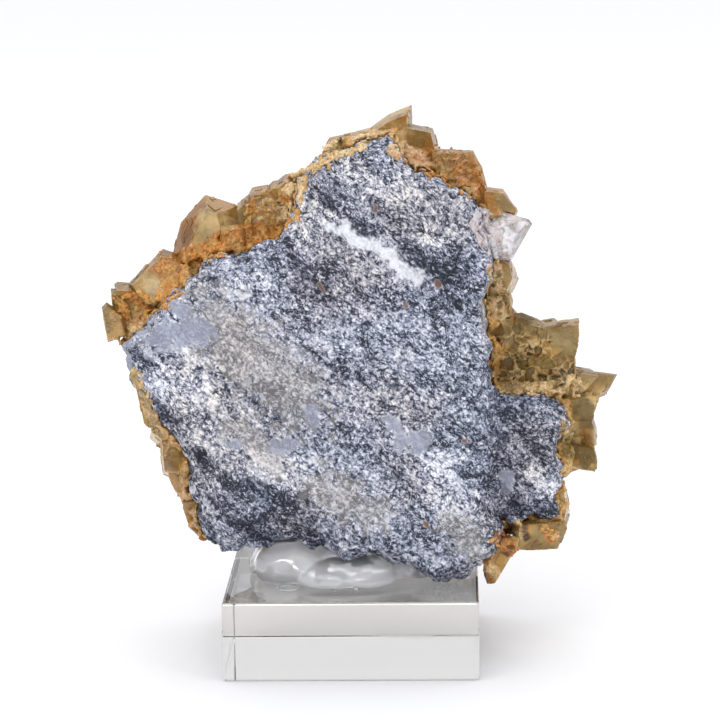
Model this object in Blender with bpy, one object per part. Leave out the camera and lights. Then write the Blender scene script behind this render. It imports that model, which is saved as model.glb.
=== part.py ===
"""Siderite crystals on a granular quartz rock, glued to a clear acrylic block.

Metres, +Z up. The origin is the middle of the block's underside, and the broad face of the rock
looks along -Y. Sizes below are in millimetres.
"""

import math
import random

import bmesh
import bpy
from mathutils import Matrix, Vector, noise

MM = 0.001

# The block: 2 in square and 5/8 in high, with polished edges.
BLOCK_SIDE = 50.8
BLOCK_HEIGHT = 15.875
BLOCK_EDGE = 0.4

# Clear space left between touching pieces, and how a neighbour is swollen to cut it: its
# surface is moved out, made even again and thinned.
GAP = 0.32
CUTTER_SWELL = 0.5
CUTTER_VOXEL = 0.7
CUTTER_TRIANGLES = 5000

# The rock: outline of its broad face as (x, z), clockwise seen from the front, from the left tip.
ROCK_OUTLINE = [
    (-47.0, 64.5), (-45.5, 60.0), (-42.8, 55.6), (-40.2, 51.8), (-37.2, 47.3), (-34.8, 43.5),
    (-33.0, 37.4), (-31.8, 32.9), (-30.9, 28.5), (-29.5, 25.3), (-26.5, 22.4), (-21.9, 23.2),
    (-18.1, 23.6), (-10.4, 25.4), (-6.8, 24.8), (-3.4, 22.1), (0.0, 21.3), (5.4, 22.3),
    (9.6, 21.2), (15.4, 18.1), (17.8, 16.6), (22.9, 18.0), (28.5, 22.1), (29.1, 28.3),
    (28.4, 41.0), (27.9, 53.8), (27.4, 64.7), (27.5, 75.0), (28.6, 77.6), (28.6, 81.3),
    (26.9, 85.9), (25.9, 88.5), (24.9, 92.7), (20.6, 95.4), (18.4, 96.6), (14.3, 98.6),
    (10.9, 100.5), (8.6, 103.7), (6.0, 105.1), (3.4, 104.9), (-1.5, 103.0), (-5.5, 101.2),
    (-8.8, 97.4), (-10.9, 93.9), (-10.7, 88.8), (-14.2, 86.1), (-19.8, 82.5), (-27.6, 82.1),
    (-31.9, 76.7), (-36.0, 74.5), (-37.9, 70.7), (-41.8, 66.6),
]  # fmt: skip
ROCK_MIDDLE = (-3.0, 62.0)
# Its outline stands further forward near the block than higher up.
ROCK_RIM_Y_LOW, ROCK_RIM_Y_HIGH = -12.0, -5.0
ROCK_LOW_Z, ROCK_HIGH_Z = 25.0, 60.0
ROCK_FACE_FORWARD = 3.5
# The face is cut back from the rim by this much: hardly at the sheer right side, most at the
# bevelled lower left.
ROCK_INSET_RIGHT, ROCK_INSET_TOP, ROCK_INSET_LOW_LEFT = 0.5, 2.4, 6.5
# The right side starts at this x, and the lower left is what lies left of and below this (x, z).
ROCK_RIGHT_X = 24.0
ROCK_LOW_LEFT = (-18.0, 62.0)
ROCK_BACK_Y = 5.0
ROCK_BACK_INSET = 2.6
# The lobe at the right lies further back than the main face.
LOBE_OUTLINE = [
    (20.0, 30.0), (20.0, 51.0), (29.0, 53.2), (39.5, 53.2), (43.1, 49.5), (44.1, 46.0),
    (42.1, 42.7), (42.9, 34.0), (41.3, 26.9), (30.3, 26.3),
]  # fmt: skip
LOBE_MIDDLE = (32.0, 40.0)
LOBE_RIM_Y = -2.0
LOBE_FACE_FORWARD = 1.8
LOBE_FACE_INSET = 1.8
ROCK_VOXEL = 1.1
ROCK_TRIANGLES = 2800
# Height of the ledges in which the rock broke, and how abruptly each one ends.
ROCK_LEDGE = 0.9
LEDGE_SHARPNESS = 4
# Waves of the broad face: height, lengths along and across the foliation, and place in the noise.
FACE_WAVES = [(1.3, 26.0, 6.0, 1.7), (1.8, 17.0, 17.0, 4.2), (0.5, 7.0, 3.0, 8.1)]
# Lumps on every side but the back, as height and size, and the share of them that the broad
# face shows. The back stays even for this far from its plane.
LUMPS = [(1.5, 5.5), (0.8, 2.6)]
FACE_LUMP_SHARE = 0.3
BACK_MARGIN = 0.8

# Foliation of the rock, falling to the right at this angle.
GRAIN_ANGLE = math.radians(40.0)
# Hollows and lumps of the broad face: middle (x, z), half sizes along and across the
# foliation, and depth, below zero for a hollow.
ROCK_RELIEF = [
    (-16.5, 31.5, 9.0, 4.2, -2.0),
    (-20.5, 27.5, 6.0, 1.3, -1.8),
    (-37.0, 55.0, 6.5, 5.0, 1.3),
    (-38.0, 65.0, 7.0, 3.4, 1.1),
    (-29.0, 41.0, 5.0, 1.6, -1.4),
    (-8.0, 77.0, 10.0, 1.6, -1.2),
    (2.0, 60.0, 11.0, 1.8, -0.9),
    (8.0, 83.0, 10.0, 2.6, 0.9),
    (21.0, 79.0, 4.0, 2.0, -1.3),
    (17.0, 75.0, 4.5, 1.8, -1.6),
    (14.0, 46.5, 3.6, 1.8, -0.8),
    (12.0, 44.5, 3.4, 2.2, 0.8),
    (36.0, 39.5, 3.6, 2.4, -1.6),
    (38.5, 49.5, 2.6, 1.6, -1.2),
    (-10.0, 45.0, 9.0, 5.0, 0.8),
    (10.0, 30.0, 12.0, 6.0, 0.9),
    (22.0, 60.0, 5.0, 9.0, 0.7),
]

# The crust behind the rock: its outline as seen from the front, as (x, z) at CRUST_Y.
CRUST_Y = 10.0
CRUST_OUTLINE = [
    (-49.5, 64.0), (-50.5, 70.5), (-48.5, 74.5), (-45.5, 74.8), (-38.0, 81.5), (-35.2, 86.0),
    (-30.0, 92.3), (-23.0, 90.5), (-17.0, 94.5), (-9.5, 97.5), (-4.2, 104.0), (4.5, 106.0),
    (12.5, 110.0), (13.0, 106.4), (16.8, 105.3), (17.7, 101.7), (25.0, 101.5), (27.8, 93.5),
    (31.2, 93.2), (34.5, 87.0), (32.5, 78.6), (32.8, 68.0), (39.2, 65.2), (46.4, 66.7),
    (45.7, 56.0), (54.0, 54.8), (50.3, 50.8), (50.0, 44.5), (49.9, 35.5), (44.0, 33.6),
    (43.9, 22.6), (41.5, 19.0), (34.0, 19.5), (26.0, 20.0), (8.0, 21.5), (-6.0, 23.5),
    (-20.0, 21.5), (-29.0, 20.5), (-34.0, 28.0), (-38.5, 38.0), (-42.0, 48.0), (-45.5, 56.0),
]  # fmt: skip
CRUST_MIDDLE = (-2.0, 60.0)
CRUST_FRONT_Y = 5.6
CRUST_BACK_Y = 13.5
CORE_INSET = 3.6
CORE_BACK_INSET = 1.5
# How much higher a point seems to lie, seen from the front, for each millimetre further back.
SIGHT_SLOPE = 0.19

# The crystals along the rim, from the left tip clockwise. Each has the depth of its widest
# outline, how far it runs forward of that and how much it narrows there, how far it runs
# back and how much it narrows, and the outline as (x, z).
RIM_CRYSTALS = {
    "left_tip": (6.0, 3.0, 0.80, 7.0, 0.60, [
        (-51.1, 70.2), (-50.0, 71.2), (-49.1, 70.6), (-46.5, 69.0), (-45.5, 64.5), (-49.7, 63.0)]),
    "left_blade_low": (8.0, 3.0, 0.75, 7.0, 0.70, [
        (-49.3, 73.7), (-48.5, 73.7), (-45.0, 71.0), (-44.0, 66.0), (-49.0, 68.0)]),
    "left_blade_high": (10.0, 4.0, 0.75, 7.0, 0.70, [
        (-48.8, 74.3), (-48.1, 74.8), (-45.5, 74.6), (-40.5, 72.0), (-40.0, 65.0), (-47.5, 65.0)]),
    "left_shoulder": (9.0, 6.0, 0.78, 8.0, 0.70, [
        (-45.8, 74.7), (-42.0, 78.3), (-38.5, 81.7), (-36.9, 81.0), (-31.0, 79.0), (-32.0, 72.0),
        (-42.3, 70.0)]),
    "peak_side": (4.0, 2.0, 0.85, 6.0, 0.90, [
        (-26.1, 87.0), (-21.6, 87.6), (-21.0, 82.0), (-26.0, 82.0)]),
    "saddle_left": (9.0, 5.0, 0.80, 8.0, 0.75, [
        (-23.2, 90.4), (-22.4, 91.6), (-20.8, 92.8), (-16.5, 91.0), (-15.0, 82.0), (-23.0, 81.0)]),
    "saddle": (10.0, 6.0, 0.75, 8.0, 0.70, [
        (-20.9, 92.7), (-20.1, 94.0), (-18.3, 94.5), (-16.7, 94.5), (-12.0, 90.0), (-12.0, 84.0),
        (-20.0, 85.0)]),
    "step_low": (11.0, 5.0, 0.75, 7.0, 0.70, [
        (-16.9, 94.2), (-15.8, 95.2), (-15.0, 95.3), (-11.0, 92.0), (-11.0, 85.0), (-17.0, 87.0)]),
    "step": (11.0, 6.0, 0.78, 7.0, 0.70, [
        (-15.1, 95.1), (-13.2, 96.6), (-12.2, 96.6), (-8.0, 93.0), (-9.5, 86.0), (-15.0, 88.0)]),
    "slope_low": (10.0, 4.0, 0.85, 8.0, 0.70, [
        (-12.3, 96.6), (-9.2, 97.5), (-6.0, 96.0), (-6.0, 90.0), (-12.0, 89.0)]),
    "slope_high": (10.0, 5.0, 0.80, 7.0, 0.70, [
        (-9.6, 97.3), (-7.6, 99.2), (-5.9, 100.5), (-2.0, 98.0), (-3.0, 92.0), (-9.0, 92.0)]),
    "ledge_end": (11.0, 5.0, 0.80, 7.0, 0.80, [
        (-6.0, 100.3), (-4.8, 102.0), (-4.2, 104.0), (-1.8, 104.5), (0.0, 98.0), (-6.0, 97.0)]),
    "ledge": (11.0, 4.0, 0.88, 8.0, 0.75, [
        (-2.2, 104.4), (4.4, 106.0), (9.1, 106.2), (13.0, 104.0), (12.0, 98.0), (-1.0, 97.5)]),
    "top_tip": (13.0, 5.0, 0.72, 3.0, 0.70, [
        (4.3, 105.9), (8.0, 108.4), (12.6, 110.3), (12.8, 106.2), (11.5, 101.0), (5.0, 101.5)]),
    "top_right": (10.0, 4.0, 0.88, 8.0, 0.75, [
        (10.5, 106.8), (12.9, 106.6), (16.4, 106.0), (16.9, 105.4), (17.8, 101.0), (17.2, 94.0),
        (10.0, 96.0)]),
    "crest": (9.0, 3.0, 0.90, 8.0, 0.72, [
        (16.0, 101.8), (25.0, 101.3), (26.0, 99.2), (26.7, 98.2), (26.4, 91.0), (17.0, 92.0)]),
    "crest_side": (8.0, 3.0, 0.85, 8.0, 0.72, [
        (22.0, 99.5), (26.5, 98.4), (27.9, 93.7), (28.0, 87.0), (22.5, 90.0)]),
    "crest_spike": (10.0, 2.0, 0.60, 2.0, 0.60, [
        (19.5, 100.5), (20.6, 102.1), (21.6, 100.5), (20.7, 97.0)]),
    "right_shoulder": (8.0, 3.0, 0.88, 7.0, 0.70, [
        (26.6, 94.0), (31.0, 93.5), (31.6, 92.3), (33.1, 90.5), (34.0, 88.9), (32.0, 86.0),
        (27.0, 85.0)]),
    "right_facet": (5.0, 2.4, 0.55, 4.0, 1.00, [
        (26.7, 93.6), (30.6, 91.4), (31.2, 88.6), (27.4, 86.6)]),
    "right_strip_high": (8.0, 4.0, 0.80, 8.0, 0.75, [
        (27.5, 80.5), (32.4, 79.0), (32.5, 77.5), (33.2, 75.7), (31.5, 72.0), (27.0, 72.0)]),
    "right_strip_low": (8.0, 3.0, 0.80, 8.0, 0.75, [
        (27.0, 75.0), (32.0, 73.7), (33.0, 70.5), (32.6, 67.5), (27.5, 65.0)]),
    "right_dark": (8.0, 2.5, 0.72, 8.0, 0.75, [
        (32.3, 68.1), (34.7, 68.0), (38.0, 66.7), (39.6, 65.2), (38.0, 59.0), (31.0, 60.0)]),
    "right_block": (10.0, 4.0, 0.92, 7.0, 0.85, [
        (39.2, 65.2), (42.7, 66.0), (46.4, 66.6), (46.3, 61.7), (45.6, 60.3), (44.5, 54.0),
        (38.5, 55.0)]),
    "right_block_low": (9.0, 3.5, 0.88, 8.0, 0.80, [
        (40.0, 61.0), (45.5, 60.5), (45.8, 56.0), (44.0, 51.0), (39.0, 52.0)]),
    "right_blade": (9.0, 2.2, 0.92, 4.0, 0.85, [
        (40.0, 56.5), (45.9, 56.1), (54.3, 54.9), (52.9, 52.0), (50.3, 50.9), (40.0, 50.5)]),
    "right_slab_high": (8.0, 3.0, 0.90, 8.0, 0.80, [
        (42.0, 53.0), (50.3, 51.3), (49.4, 46.4), (48.6, 43.0), (42.0, 42.0)]),
    "right_slab_mid": (9.0, 3.5, 0.85, 8.0, 0.80, [
        (42.0, 47.0), (49.2, 46.4), (50.1, 43.6), (50.1, 40.1), (42.0, 39.0)]),
    "right_slab_low": (7.0, 3.0, 0.92, 8.0, 0.80, [
        (40.0, 42.0), (49.6, 40.6), (50.0, 38.2), (49.8, 35.7), (44.6, 36.5), (40.0, 37.0)]),
    "right_spike": (5.0, 1.5, 0.60, 5.0, 1.00, [
        (42.0, 38.5), (45.0, 36.6), (43.7, 34.5), (41.5, 35.8)]),
    "low_strip": (4.5, 2.5, 0.80, 9.0, 0.85, [
        (39.5, 35.0), (43.2, 33.3), (43.0, 30.6), (43.9, 28.4), (43.3, 26.0), (42.9, 23.0),
        (38.0, 24.0)]),
    "low_block": (1.0, 2.5, 0.85, 11.0, 0.90, [
        (33.0, 26.5), (42.7, 27.0), (43.8, 24.5), (42.9, 23.9), (41.7, 20.1), (36.5, 21.0),
        (32.0, 20.6)]),
    "low_spur": (-3.0, 2.5, 0.80, 12.0, 0.90, [
        (28.5, 25.0), (34.0, 23.5), (33.6, 20.9), (30.5, 18.6), (28.5, 19.0)]),
    "low_tail": (-6.0, 2.0, 0.85, 6.0, 0.70, [
        (27.0, 22.0), (33.0, 22.0), (31.4, 20.2), (28.8, 15.0), (27.2, 14.8), (26.4, 18.0)]),
    "left_strip_a": (2.0, 2.5, 0.85, 9.0, 0.80, [
        (-44.2, 54.8), (-42.6, 51.7), (-42.3, 46.9), (-41.2, 45.9), (-37.0, 47.0), (-39.0, 55.0)]),
    "left_strip_b": (3.0, 2.0, 0.85, 9.0, 0.80, [
        (-41.4, 45.6), (-39.2, 43.2), (-35.0, 42.0), (-36.0, 49.0)]),
    "left_strip_c": (4.0, 3.0, 0.85, 9.0, 0.80, [
        (-39.3, 43.3), (-39.1, 39.7), (-38.4, 36.6), (-33.0, 35.4), (-34.0, 44.0)]),
    "left_strip_d": (3.0, 2.5, 0.85, 9.0, 0.80, [
        (-38.3, 36.8), (-37.0, 33.2), (-35.2, 31.5), (-31.0, 30.4), (-31.0, 38.0)]),
    "left_strip_e": (1.0, 2.5, 0.85, 9.0, 0.80, [
        (-35.2, 31.7), (-33.8, 26.2), (-32.4, 24.0), (-30.6, 22.4), (-28.0, 25.0), (-29.0, 33.0)]),
}  # fmt: skip

# The big blocky crystal at the upper left: its near face, its widest outline and its far
# face, as depth and (x, z) corners.
PEAK_CRYSTAL = [
    (4.0, [(-29.0, 90.0), (-27.0, 89.3), (-26.4, 86.5), (-28.4, 81.5), (-34.0, 79.5)]),
    (11.0, [(-37.1, 79.0), (-35.3, 84.6), (-35.1, 86.2), (-33.7, 88.4), (-30.6, 91.8),
            (-29.6, 92.4), (-27.4, 91.7), (-23.1, 90.2), (-22.0, 80.0)]),
    (20.0, [(-33.5, 80.0), (-33.0, 85.0), (-29.0, 88.5), (-25.0, 87.0), (-25.0, 79.0)]),
]  # fmt: skip

# How steeply the near and far faces of the rim crystals may lean, up to this share of their
# reach, how far the far face may shift sideways and down, and how its reach varies.
FACE_LEAN = 0.5
LEAN_LIMIT = 0.6
FAR_SHIFT_X, FAR_SHIFT_Z = 2.2, 2.5
FAR_REACH_MIN, FAR_REACH_MAX = 0.75, 1.2

# Rhombohedral crystals that cover the far side and the rim.
CRYSTAL_SEED = 11
EDGE_TO_AXIS = math.radians(63.7)
# How much their axes stray from straight outward, how long they are along the axis, and how far
# each strays from its place on the grid, as a share of the spacing.
AXIS_SPREAD = 0.55
AXIS_STRETCH_MIN, AXIS_STRETCH_MAX = 0.8, 1.35
GRID_STRAY = 0.35
# Spacing, least and greatest edge, and how far the middle sinks into the crust, for the large
# and the small crystals of the far side.
FAR_LARGE = (16.5, 10.0, 15.5, 0.5)
FAR_SMALL = (10.5, 5.5, 9.0, -0.8)
FAR_Y, FAR_DOME = 12.5, 8.0
RIM_SPACING = 7.5
RIM_EDGE_MIN, RIM_EDGE_MAX = 4.5, 8.0
RIM_Y_MIN, RIM_Y_MAX = 8.0, 15.0
# How far a crystal of the rim sinks inward, as a share of its edge, and how far it turns back.
RIM_SUNK = 0.75
RIM_TURNED_BACK = 2.0
CRUST_TRIANGLES = 5050
# The smaller crystal that steps out of each one: its size, and how far it is moved along an edge.
STEP_SCALE = 0.72
STEP_SHIFT = 0.42
# Small crystals on the near side of the crust, where the rock broke away from it.
BARE_AREA = (29.5, 55.0, 45.0, 65.0)
BARE_SPACING = 5.0
BARE_EDGE_MIN, BARE_EDGE_MAX = 3.4, 5.0
BARE_SUNK = 0.3

# The colourless crystal: depth and (x, z) corners of its near face, widest outline and far face.
CLEAR_CRYSTAL = [
    (1.0, [(28.0, 86.0), (31.5, 87.0), (33.5, 85.0), (31.8, 81.5), (29.0, 82.0)]),
    (6.0, [(26.9, 87.3), (30.6, 89.2), (34.8, 87.7), (36.2, 87.5), (36.9, 86.6), (34.7, 82.9),
           (32.6, 79.0), (30.4, 79.2), (27.8, 80.6)]),
    (10.0, [(28.5, 86.0), (34.0, 86.0), (34.5, 85.2), (32.0, 81.0), (29.0, 82.0)]),
]  # fmt: skip

# The glue: blobs as middle (x, y, z) and half sizes (x, y, z).
GLUE_BLOBS = [
    ((-12.0, -5.0, 18.5), (8.0, 7.5, 5.5)),
    ((-13.5, 0.0, 20.0), (6.5, 7.0, 5.0)),
    ((-4.0, -7.5, 17.0), (8.0, 8.4, 3.6)),
    ((2.0, -6.5, 17.0), (7.5, 8.6, 3.6)),
    ((-5.0, 0.0, 19.0), (9.0, 8.0, 5.0)),
    ((6.0, -1.0, 17.5), (8.0, 8.0, 4.4)),
    ((12.0, -1.0, 16.5), (6.5, 6.0, 3.0)),
    ((-18.5, 1.0, 17.0), (3.0, 5.0, 3.0)),
    ((0.0, 6.0, 18.0), (14.0, 6.0, 4.5)),
]
GLUE_VOXEL = 0.8
GLUE_TRIANGLES = 520
GLUE_SOFTENING, GLUE_SOFTENING_PASSES = 0.6, 8
GLUE_SHARP_ANGLE = math.radians(50.0)
# Side of the plain cube that trims the glue flat, in metres.
TRIMMER = 0.1


def clear_scene():
    for obj in list(bpy.data.objects):
        bpy.data.objects.remove(obj)


def material(name, colour, roughness, metallic=0.0, transmission=0.0, ior=1.5):
    made = bpy.data.materials.new(name)
    made.use_nodes = True
    shader = made.node_tree.nodes["Principled BSDF"]
    shader.inputs["Base Color"].default_value = (*colour, 1.0)
    shader.inputs["Roughness"].default_value = roughness
    shader.inputs["Metallic"].default_value = metallic
    shader.inputs["Transmission Weight"].default_value = transmission
    shader.inputs["IOR"].default_value = ior
    return made


def object_of(name, shape, finish=None):
    """Turns a bmesh into a named object, and frees the bmesh."""
    mesh = bpy.data.meshes.new(name)
    shape.to_mesh(mesh)
    shape.free()
    if finish:
        mesh.materials.append(finish)
    obj = bpy.data.objects.new(name, mesh)
    bpy.context.scene.collection.objects.link(obj)
    return obj


def helper(obj):
    """Keeps an object out of the model: it only cuts or guides."""
    obj.hide_render = True
    obj.display_type = "WIRE"
    return obj


def bake_modifiers(obj):
    """Replaces an object's mesh by the one that its modifiers make."""
    bpy.context.view_layer.update()
    graph = bpy.context.evaluated_depsgraph_get()
    mesh = bpy.data.meshes.new_from_object(obj.evaluated_get(graph), depsgraph=graph)
    obj.modifiers.clear()
    obj.data = mesh
    return obj


def remesh(obj, voxel):
    modifier = obj.modifiers.new("Even faces", "REMESH")
    modifier.mode = "VOXEL"
    modifier.voxel_size = voxel * MM
    return bake_modifiers(obj)


def decimate(obj, triangles):
    obj.data.calc_loop_triangles()
    modifier = obj.modifiers.new("Fewer faces", "DECIMATE")
    modifier.ratio = min(1.0, triangles / len(obj.data.loop_triangles))
    modifier.use_collapse_triangulate = True
    return bake_modifiers(obj)


def boolean(obj, other, operation):
    """Joins or cuts with an object, or with every object of a collection."""
    modifier = obj.modifiers.new(operation.title(), "BOOLEAN")
    modifier.operation = operation
    if isinstance(other, bpy.types.Collection):
        modifier.operand_type = "COLLECTION"
        modifier.collection = other
    else:
        modifier.object = other
    return bake_modifiers(obj)


def keep_largest_body(obj):
    """Drops loose chips and closed inner shells, which are smaller than the outer body."""
    shape = bmesh.new()
    shape.from_mesh(obj.data)
    unseen = set(shape.verts)
    bodies = []
    while unseen:
        body, edge_of = set(), [unseen.pop()]
        while edge_of:
            vert = edge_of.pop()
            body.add(vert)
            for edge in vert.link_edges:
                other = edge.other_vert(vert)
                if other in unseen:
                    unseen.remove(other)
                    edge_of.append(other)
        bodies.append(body)
    bodies.sort(key=len, reverse=True)
    loose = [vert for body in bodies[1:] for vert in body]
    bmesh.ops.delete(shape, geom=loose, context="VERTS")
    shape.to_mesh(obj.data)
    shape.free()


def hull_of(points):
    """The flat-faced solid that just holds these points, given in millimetres."""
    shape = bmesh.new()
    for point in points:
        shape.verts.new(Vector(point) * MM)
    made = bmesh.ops.convex_hull(shape, input=shape.verts)
    inner = set(made["geom_interior"] + made["geom_unused"])
    bmesh.ops.delete(shape, geom=[item for item in inner if isinstance(item, bmesh.types.BMVert)],
                     context="VERTS")
    bmesh.ops.recalc_face_normals(shape, faces=shape.faces)
    return shape


def middle_of(outline):
    return [sum(point[i] for point in outline) / len(outline) for i in (0, 1)]


def ring(outline, y, scale=1.0, middle=None, inset=0.0):
    """The outline at depth y, narrowed towards its middle by a factor or by a distance.

    The depth and the distance are numbers, or functions of the outline's (x, z).
    """
    middle = middle or middle_of(outline)
    made = []
    for x, z in outline:
        away = Vector((x - middle[0], z - middle[1]))
        less = inset(x, z) if callable(inset) else inset
        away *= scale * (1.0 - less / away.length)
        depth = y(x, z) if callable(y) else y
        made.append(Vector((middle[0] + away.x, depth, middle[1] + away.y)))
    return made


def loft(rings):
    """A closed solid through rings of equally many points, the first one nearest the viewer."""
    shape = bmesh.new()
    rows = [[shape.verts.new(point * MM) for point in points] for points in rings]
    count = len(rows[0])
    for near, far in zip(rows, rows[1:]):
        for i in range(count):
            j = (i + 1) % count
            shape.faces.new((near[i], near[j], far[j], far[i]))
    shape.faces.new(rows[0])
    shape.faces.new(rows[-1])
    bmesh.ops.recalc_face_normals(shape, faces=shape.faces)
    return shape


def rim_y(_x, z):
    """Depth of the rock's rim at a height."""
    share = min(1.0, max(0.0, (z - ROCK_LOW_Z) / (ROCK_HIGH_Z - ROCK_LOW_Z)))
    return ROCK_RIM_Y_LOW + (ROCK_RIM_Y_HIGH - ROCK_RIM_Y_LOW) * share


def face_inset(x, z):
    """How far the rock's face is cut back from its rim at an outline point."""
    if x > ROCK_RIGHT_X:
        return ROCK_INSET_RIGHT
    if x < ROCK_LOW_LEFT[0] and z < ROCK_LOW_LEFT[1]:
        return ROCK_INSET_LOW_LEFT
    return ROCK_INSET_TOP


def along_and_across(x, z):
    """Distances along the foliation and across it."""
    return (x * math.cos(GRAIN_ANGLE) - z * math.sin(GRAIN_ANGLE),
            x * math.sin(GRAIN_ANGLE) + z * math.cos(GRAIN_ANGLE))


def relief(x, z):
    """How far the rock's broad face stands forward at (x, z), from foliation, hollows and lumps."""
    along, across = along_and_across(x, z)
    height = sum(
        wave * noise.noise(Vector((along / length, across / width, place)))
        for wave, length, width, place in FACE_WAVES
    )
    ledge = math.floor(height / ROCK_LEDGE) * ROCK_LEDGE
    rise = (height - ledge) / ROCK_LEDGE
    height = ledge + ROCK_LEDGE * rise**LEDGE_SHARPNESS
    for mid_x, mid_z, half_along, half_across, depth in ROCK_RELIEF:
        there_along, there_across = along_and_across(mid_x, mid_z)
        far = math.hypot((along - there_along) / half_along, (across - there_across) / half_across)
        height += depth * math.exp(-(far**3))
    return height


def roughen(obj):
    """Gives the rock its broken surface, on every side but the hidden back."""
    mesh = obj.data
    for vert in mesh.vertices:
        place = vert.co / MM
        normal = vert.normal
        if place.y > ROCK_BACK_Y - BACK_MARGIN:
            continue
        facing = max(0.0, -normal.y)
        lump = sum(height * noise.noise(place / size) for height, size in LUMPS)
        lump_share = 1.0 - (1.0 - FACE_LUMP_SHARE) * facing
        push = facing * relief(place.x, place.z) + lump_share * lump
        vert.co += normal * push * MM
    mesh.update()


def rock(finish):
    main = object_of("matrix_rock", loft([
        ring(ROCK_OUTLINE, lambda x, z: rim_y(x, z) - ROCK_FACE_FORWARD, middle=ROCK_MIDDLE,
             inset=face_inset),
        ring(ROCK_OUTLINE, rim_y, middle=ROCK_MIDDLE),
        ring(ROCK_OUTLINE, ROCK_BACK_Y, middle=ROCK_MIDDLE, inset=ROCK_BACK_INSET),
    ]), finish)
    lobe = helper(object_of("lobe", loft([
        ring(LOBE_OUTLINE, LOBE_RIM_Y - LOBE_FACE_FORWARD, middle=LOBE_MIDDLE, inset=LOBE_FACE_INSET),
        ring(LOBE_OUTLINE, LOBE_RIM_Y, middle=LOBE_MIDDLE),
        ring(LOBE_OUTLINE, ROCK_BACK_Y, middle=LOBE_MIDDLE, inset=ROCK_BACK_INSET),
    ])))
    boolean(main, lobe, "UNION")
    bpy.data.objects.remove(lobe)
    remesh(main, ROCK_VOXEL)
    roughen(main)
    decimate(main, ROCK_TRIANGLES)
    keep_largest_body(main)
    return main


def inside(outline, x, z):
    """Whether (x, z) lies inside a closed outline."""
    within = False
    for (x0, z0), (x1, z1) in zip(outline, outline[1:] + outline[:1]):
        if (z0 > z) != (z1 > z) and x < x0 + (z - z0) * (x1 - x0) / (z1 - z0):
            within = not within
    return within


def hidden_behind_rim(points):
    """Whether all these points stay behind the crust's outline, seen from the front."""
    return all(
        inside(CRUST_OUTLINE, point.x, point.z + SIGHT_SLOPE * max(0.0, point.y - CRUST_Y))
        for point in points
    )


def rhombohedron(middle, axis, turn, edge, stretch):
    """The eight corners of a rhombohedron with its axis along a direction, and its three edges."""
    frame = axis.to_track_quat("Z", "Y").to_matrix() @ Matrix.Rotation(turn, 3, "Z")
    sides = []
    for k in range(3):
        angle = math.radians(120.0 * k)
        flat = math.sin(EDGE_TO_AXIS)
        side = Vector((flat * math.cos(angle), flat * math.sin(angle), math.cos(EDGE_TO_AXIS) * stretch))
        sides.append(frame @ (side * edge))
    corner = middle - 0.5 * (sides[0] + sides[1] + sides[2])
    return [corner + sides[0] * a + sides[1] * b + sides[2] * c
            for a in (0, 1) for b in (0, 1) for c in (0, 1)], sides


def grown_crystal(draw, middle, outward, edge):
    """One crystal and the smaller parallel one that steps out of it."""
    tilt = Vector([draw.gauss(0.0, AXIS_SPREAD) for _ in range(3)])
    axis = (outward + tilt).normalized()
    turn = draw.uniform(0.0, math.tau)
    stretch = draw.uniform(AXIS_STRETCH_MIN, AXIS_STRETCH_MAX)
    corners, sides = rhombohedron(middle, axis, turn, edge, stretch)
    side = draw.choice(sides)
    way = side if side.dot(outward) > 0 else -side
    step, _ = rhombohedron(middle + way * STEP_SHIFT, axis, turn, edge * STEP_SCALE, stretch)
    return [corners, step]


def scattered(draw, area, spacing):
    """Places on a square grid over an area (left, low, right, high), each moved a little."""
    left, low, right, high = area
    places = []
    for row in range(math.ceil((high - low) / spacing) + 1):
        for column in range(math.ceil((right - left) / spacing) + 1):
            places.append((left + (column + draw.uniform(-GRID_STRAY, GRID_STRAY)) * spacing,
                           low + (row + draw.uniform(-GRID_STRAY, GRID_STRAY)) * spacing))
    return places


def rim_crystal(draw, y, forward, near, back, far, outline):
    """A crystal of the rim, through its widest outline and its leaning near and far faces."""
    mid_x, mid_z = middle_of(outline)
    points = ring(outline, y)
    for reach, scale in ((-forward, near), (back * draw.uniform(FAR_REACH_MIN, FAR_REACH_MAX), far)):
        lean_x, lean_z = (draw.uniform(-FACE_LEAN, FACE_LEAN) for _ in range(2))
        shift_x, shift_z = draw.uniform(-FAR_SHIFT_X, FAR_SHIFT_X), draw.uniform(-FAR_SHIFT_Z, 0.0)
        for point in ring(outline, 0.0, scale):
            lean = lean_x * (point.x - mid_x) + lean_z * (point.z - mid_z)
            most = LEAN_LIMIT * abs(reach)
            point.y = y + reach + max(-most, min(most, lean))
            if reach > 0.0:
                point.x += shift_x
                point.z += shift_z - SIGHT_SLOPE * (point.y - y)
            points.append(point)
    return hull_of(points)


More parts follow.
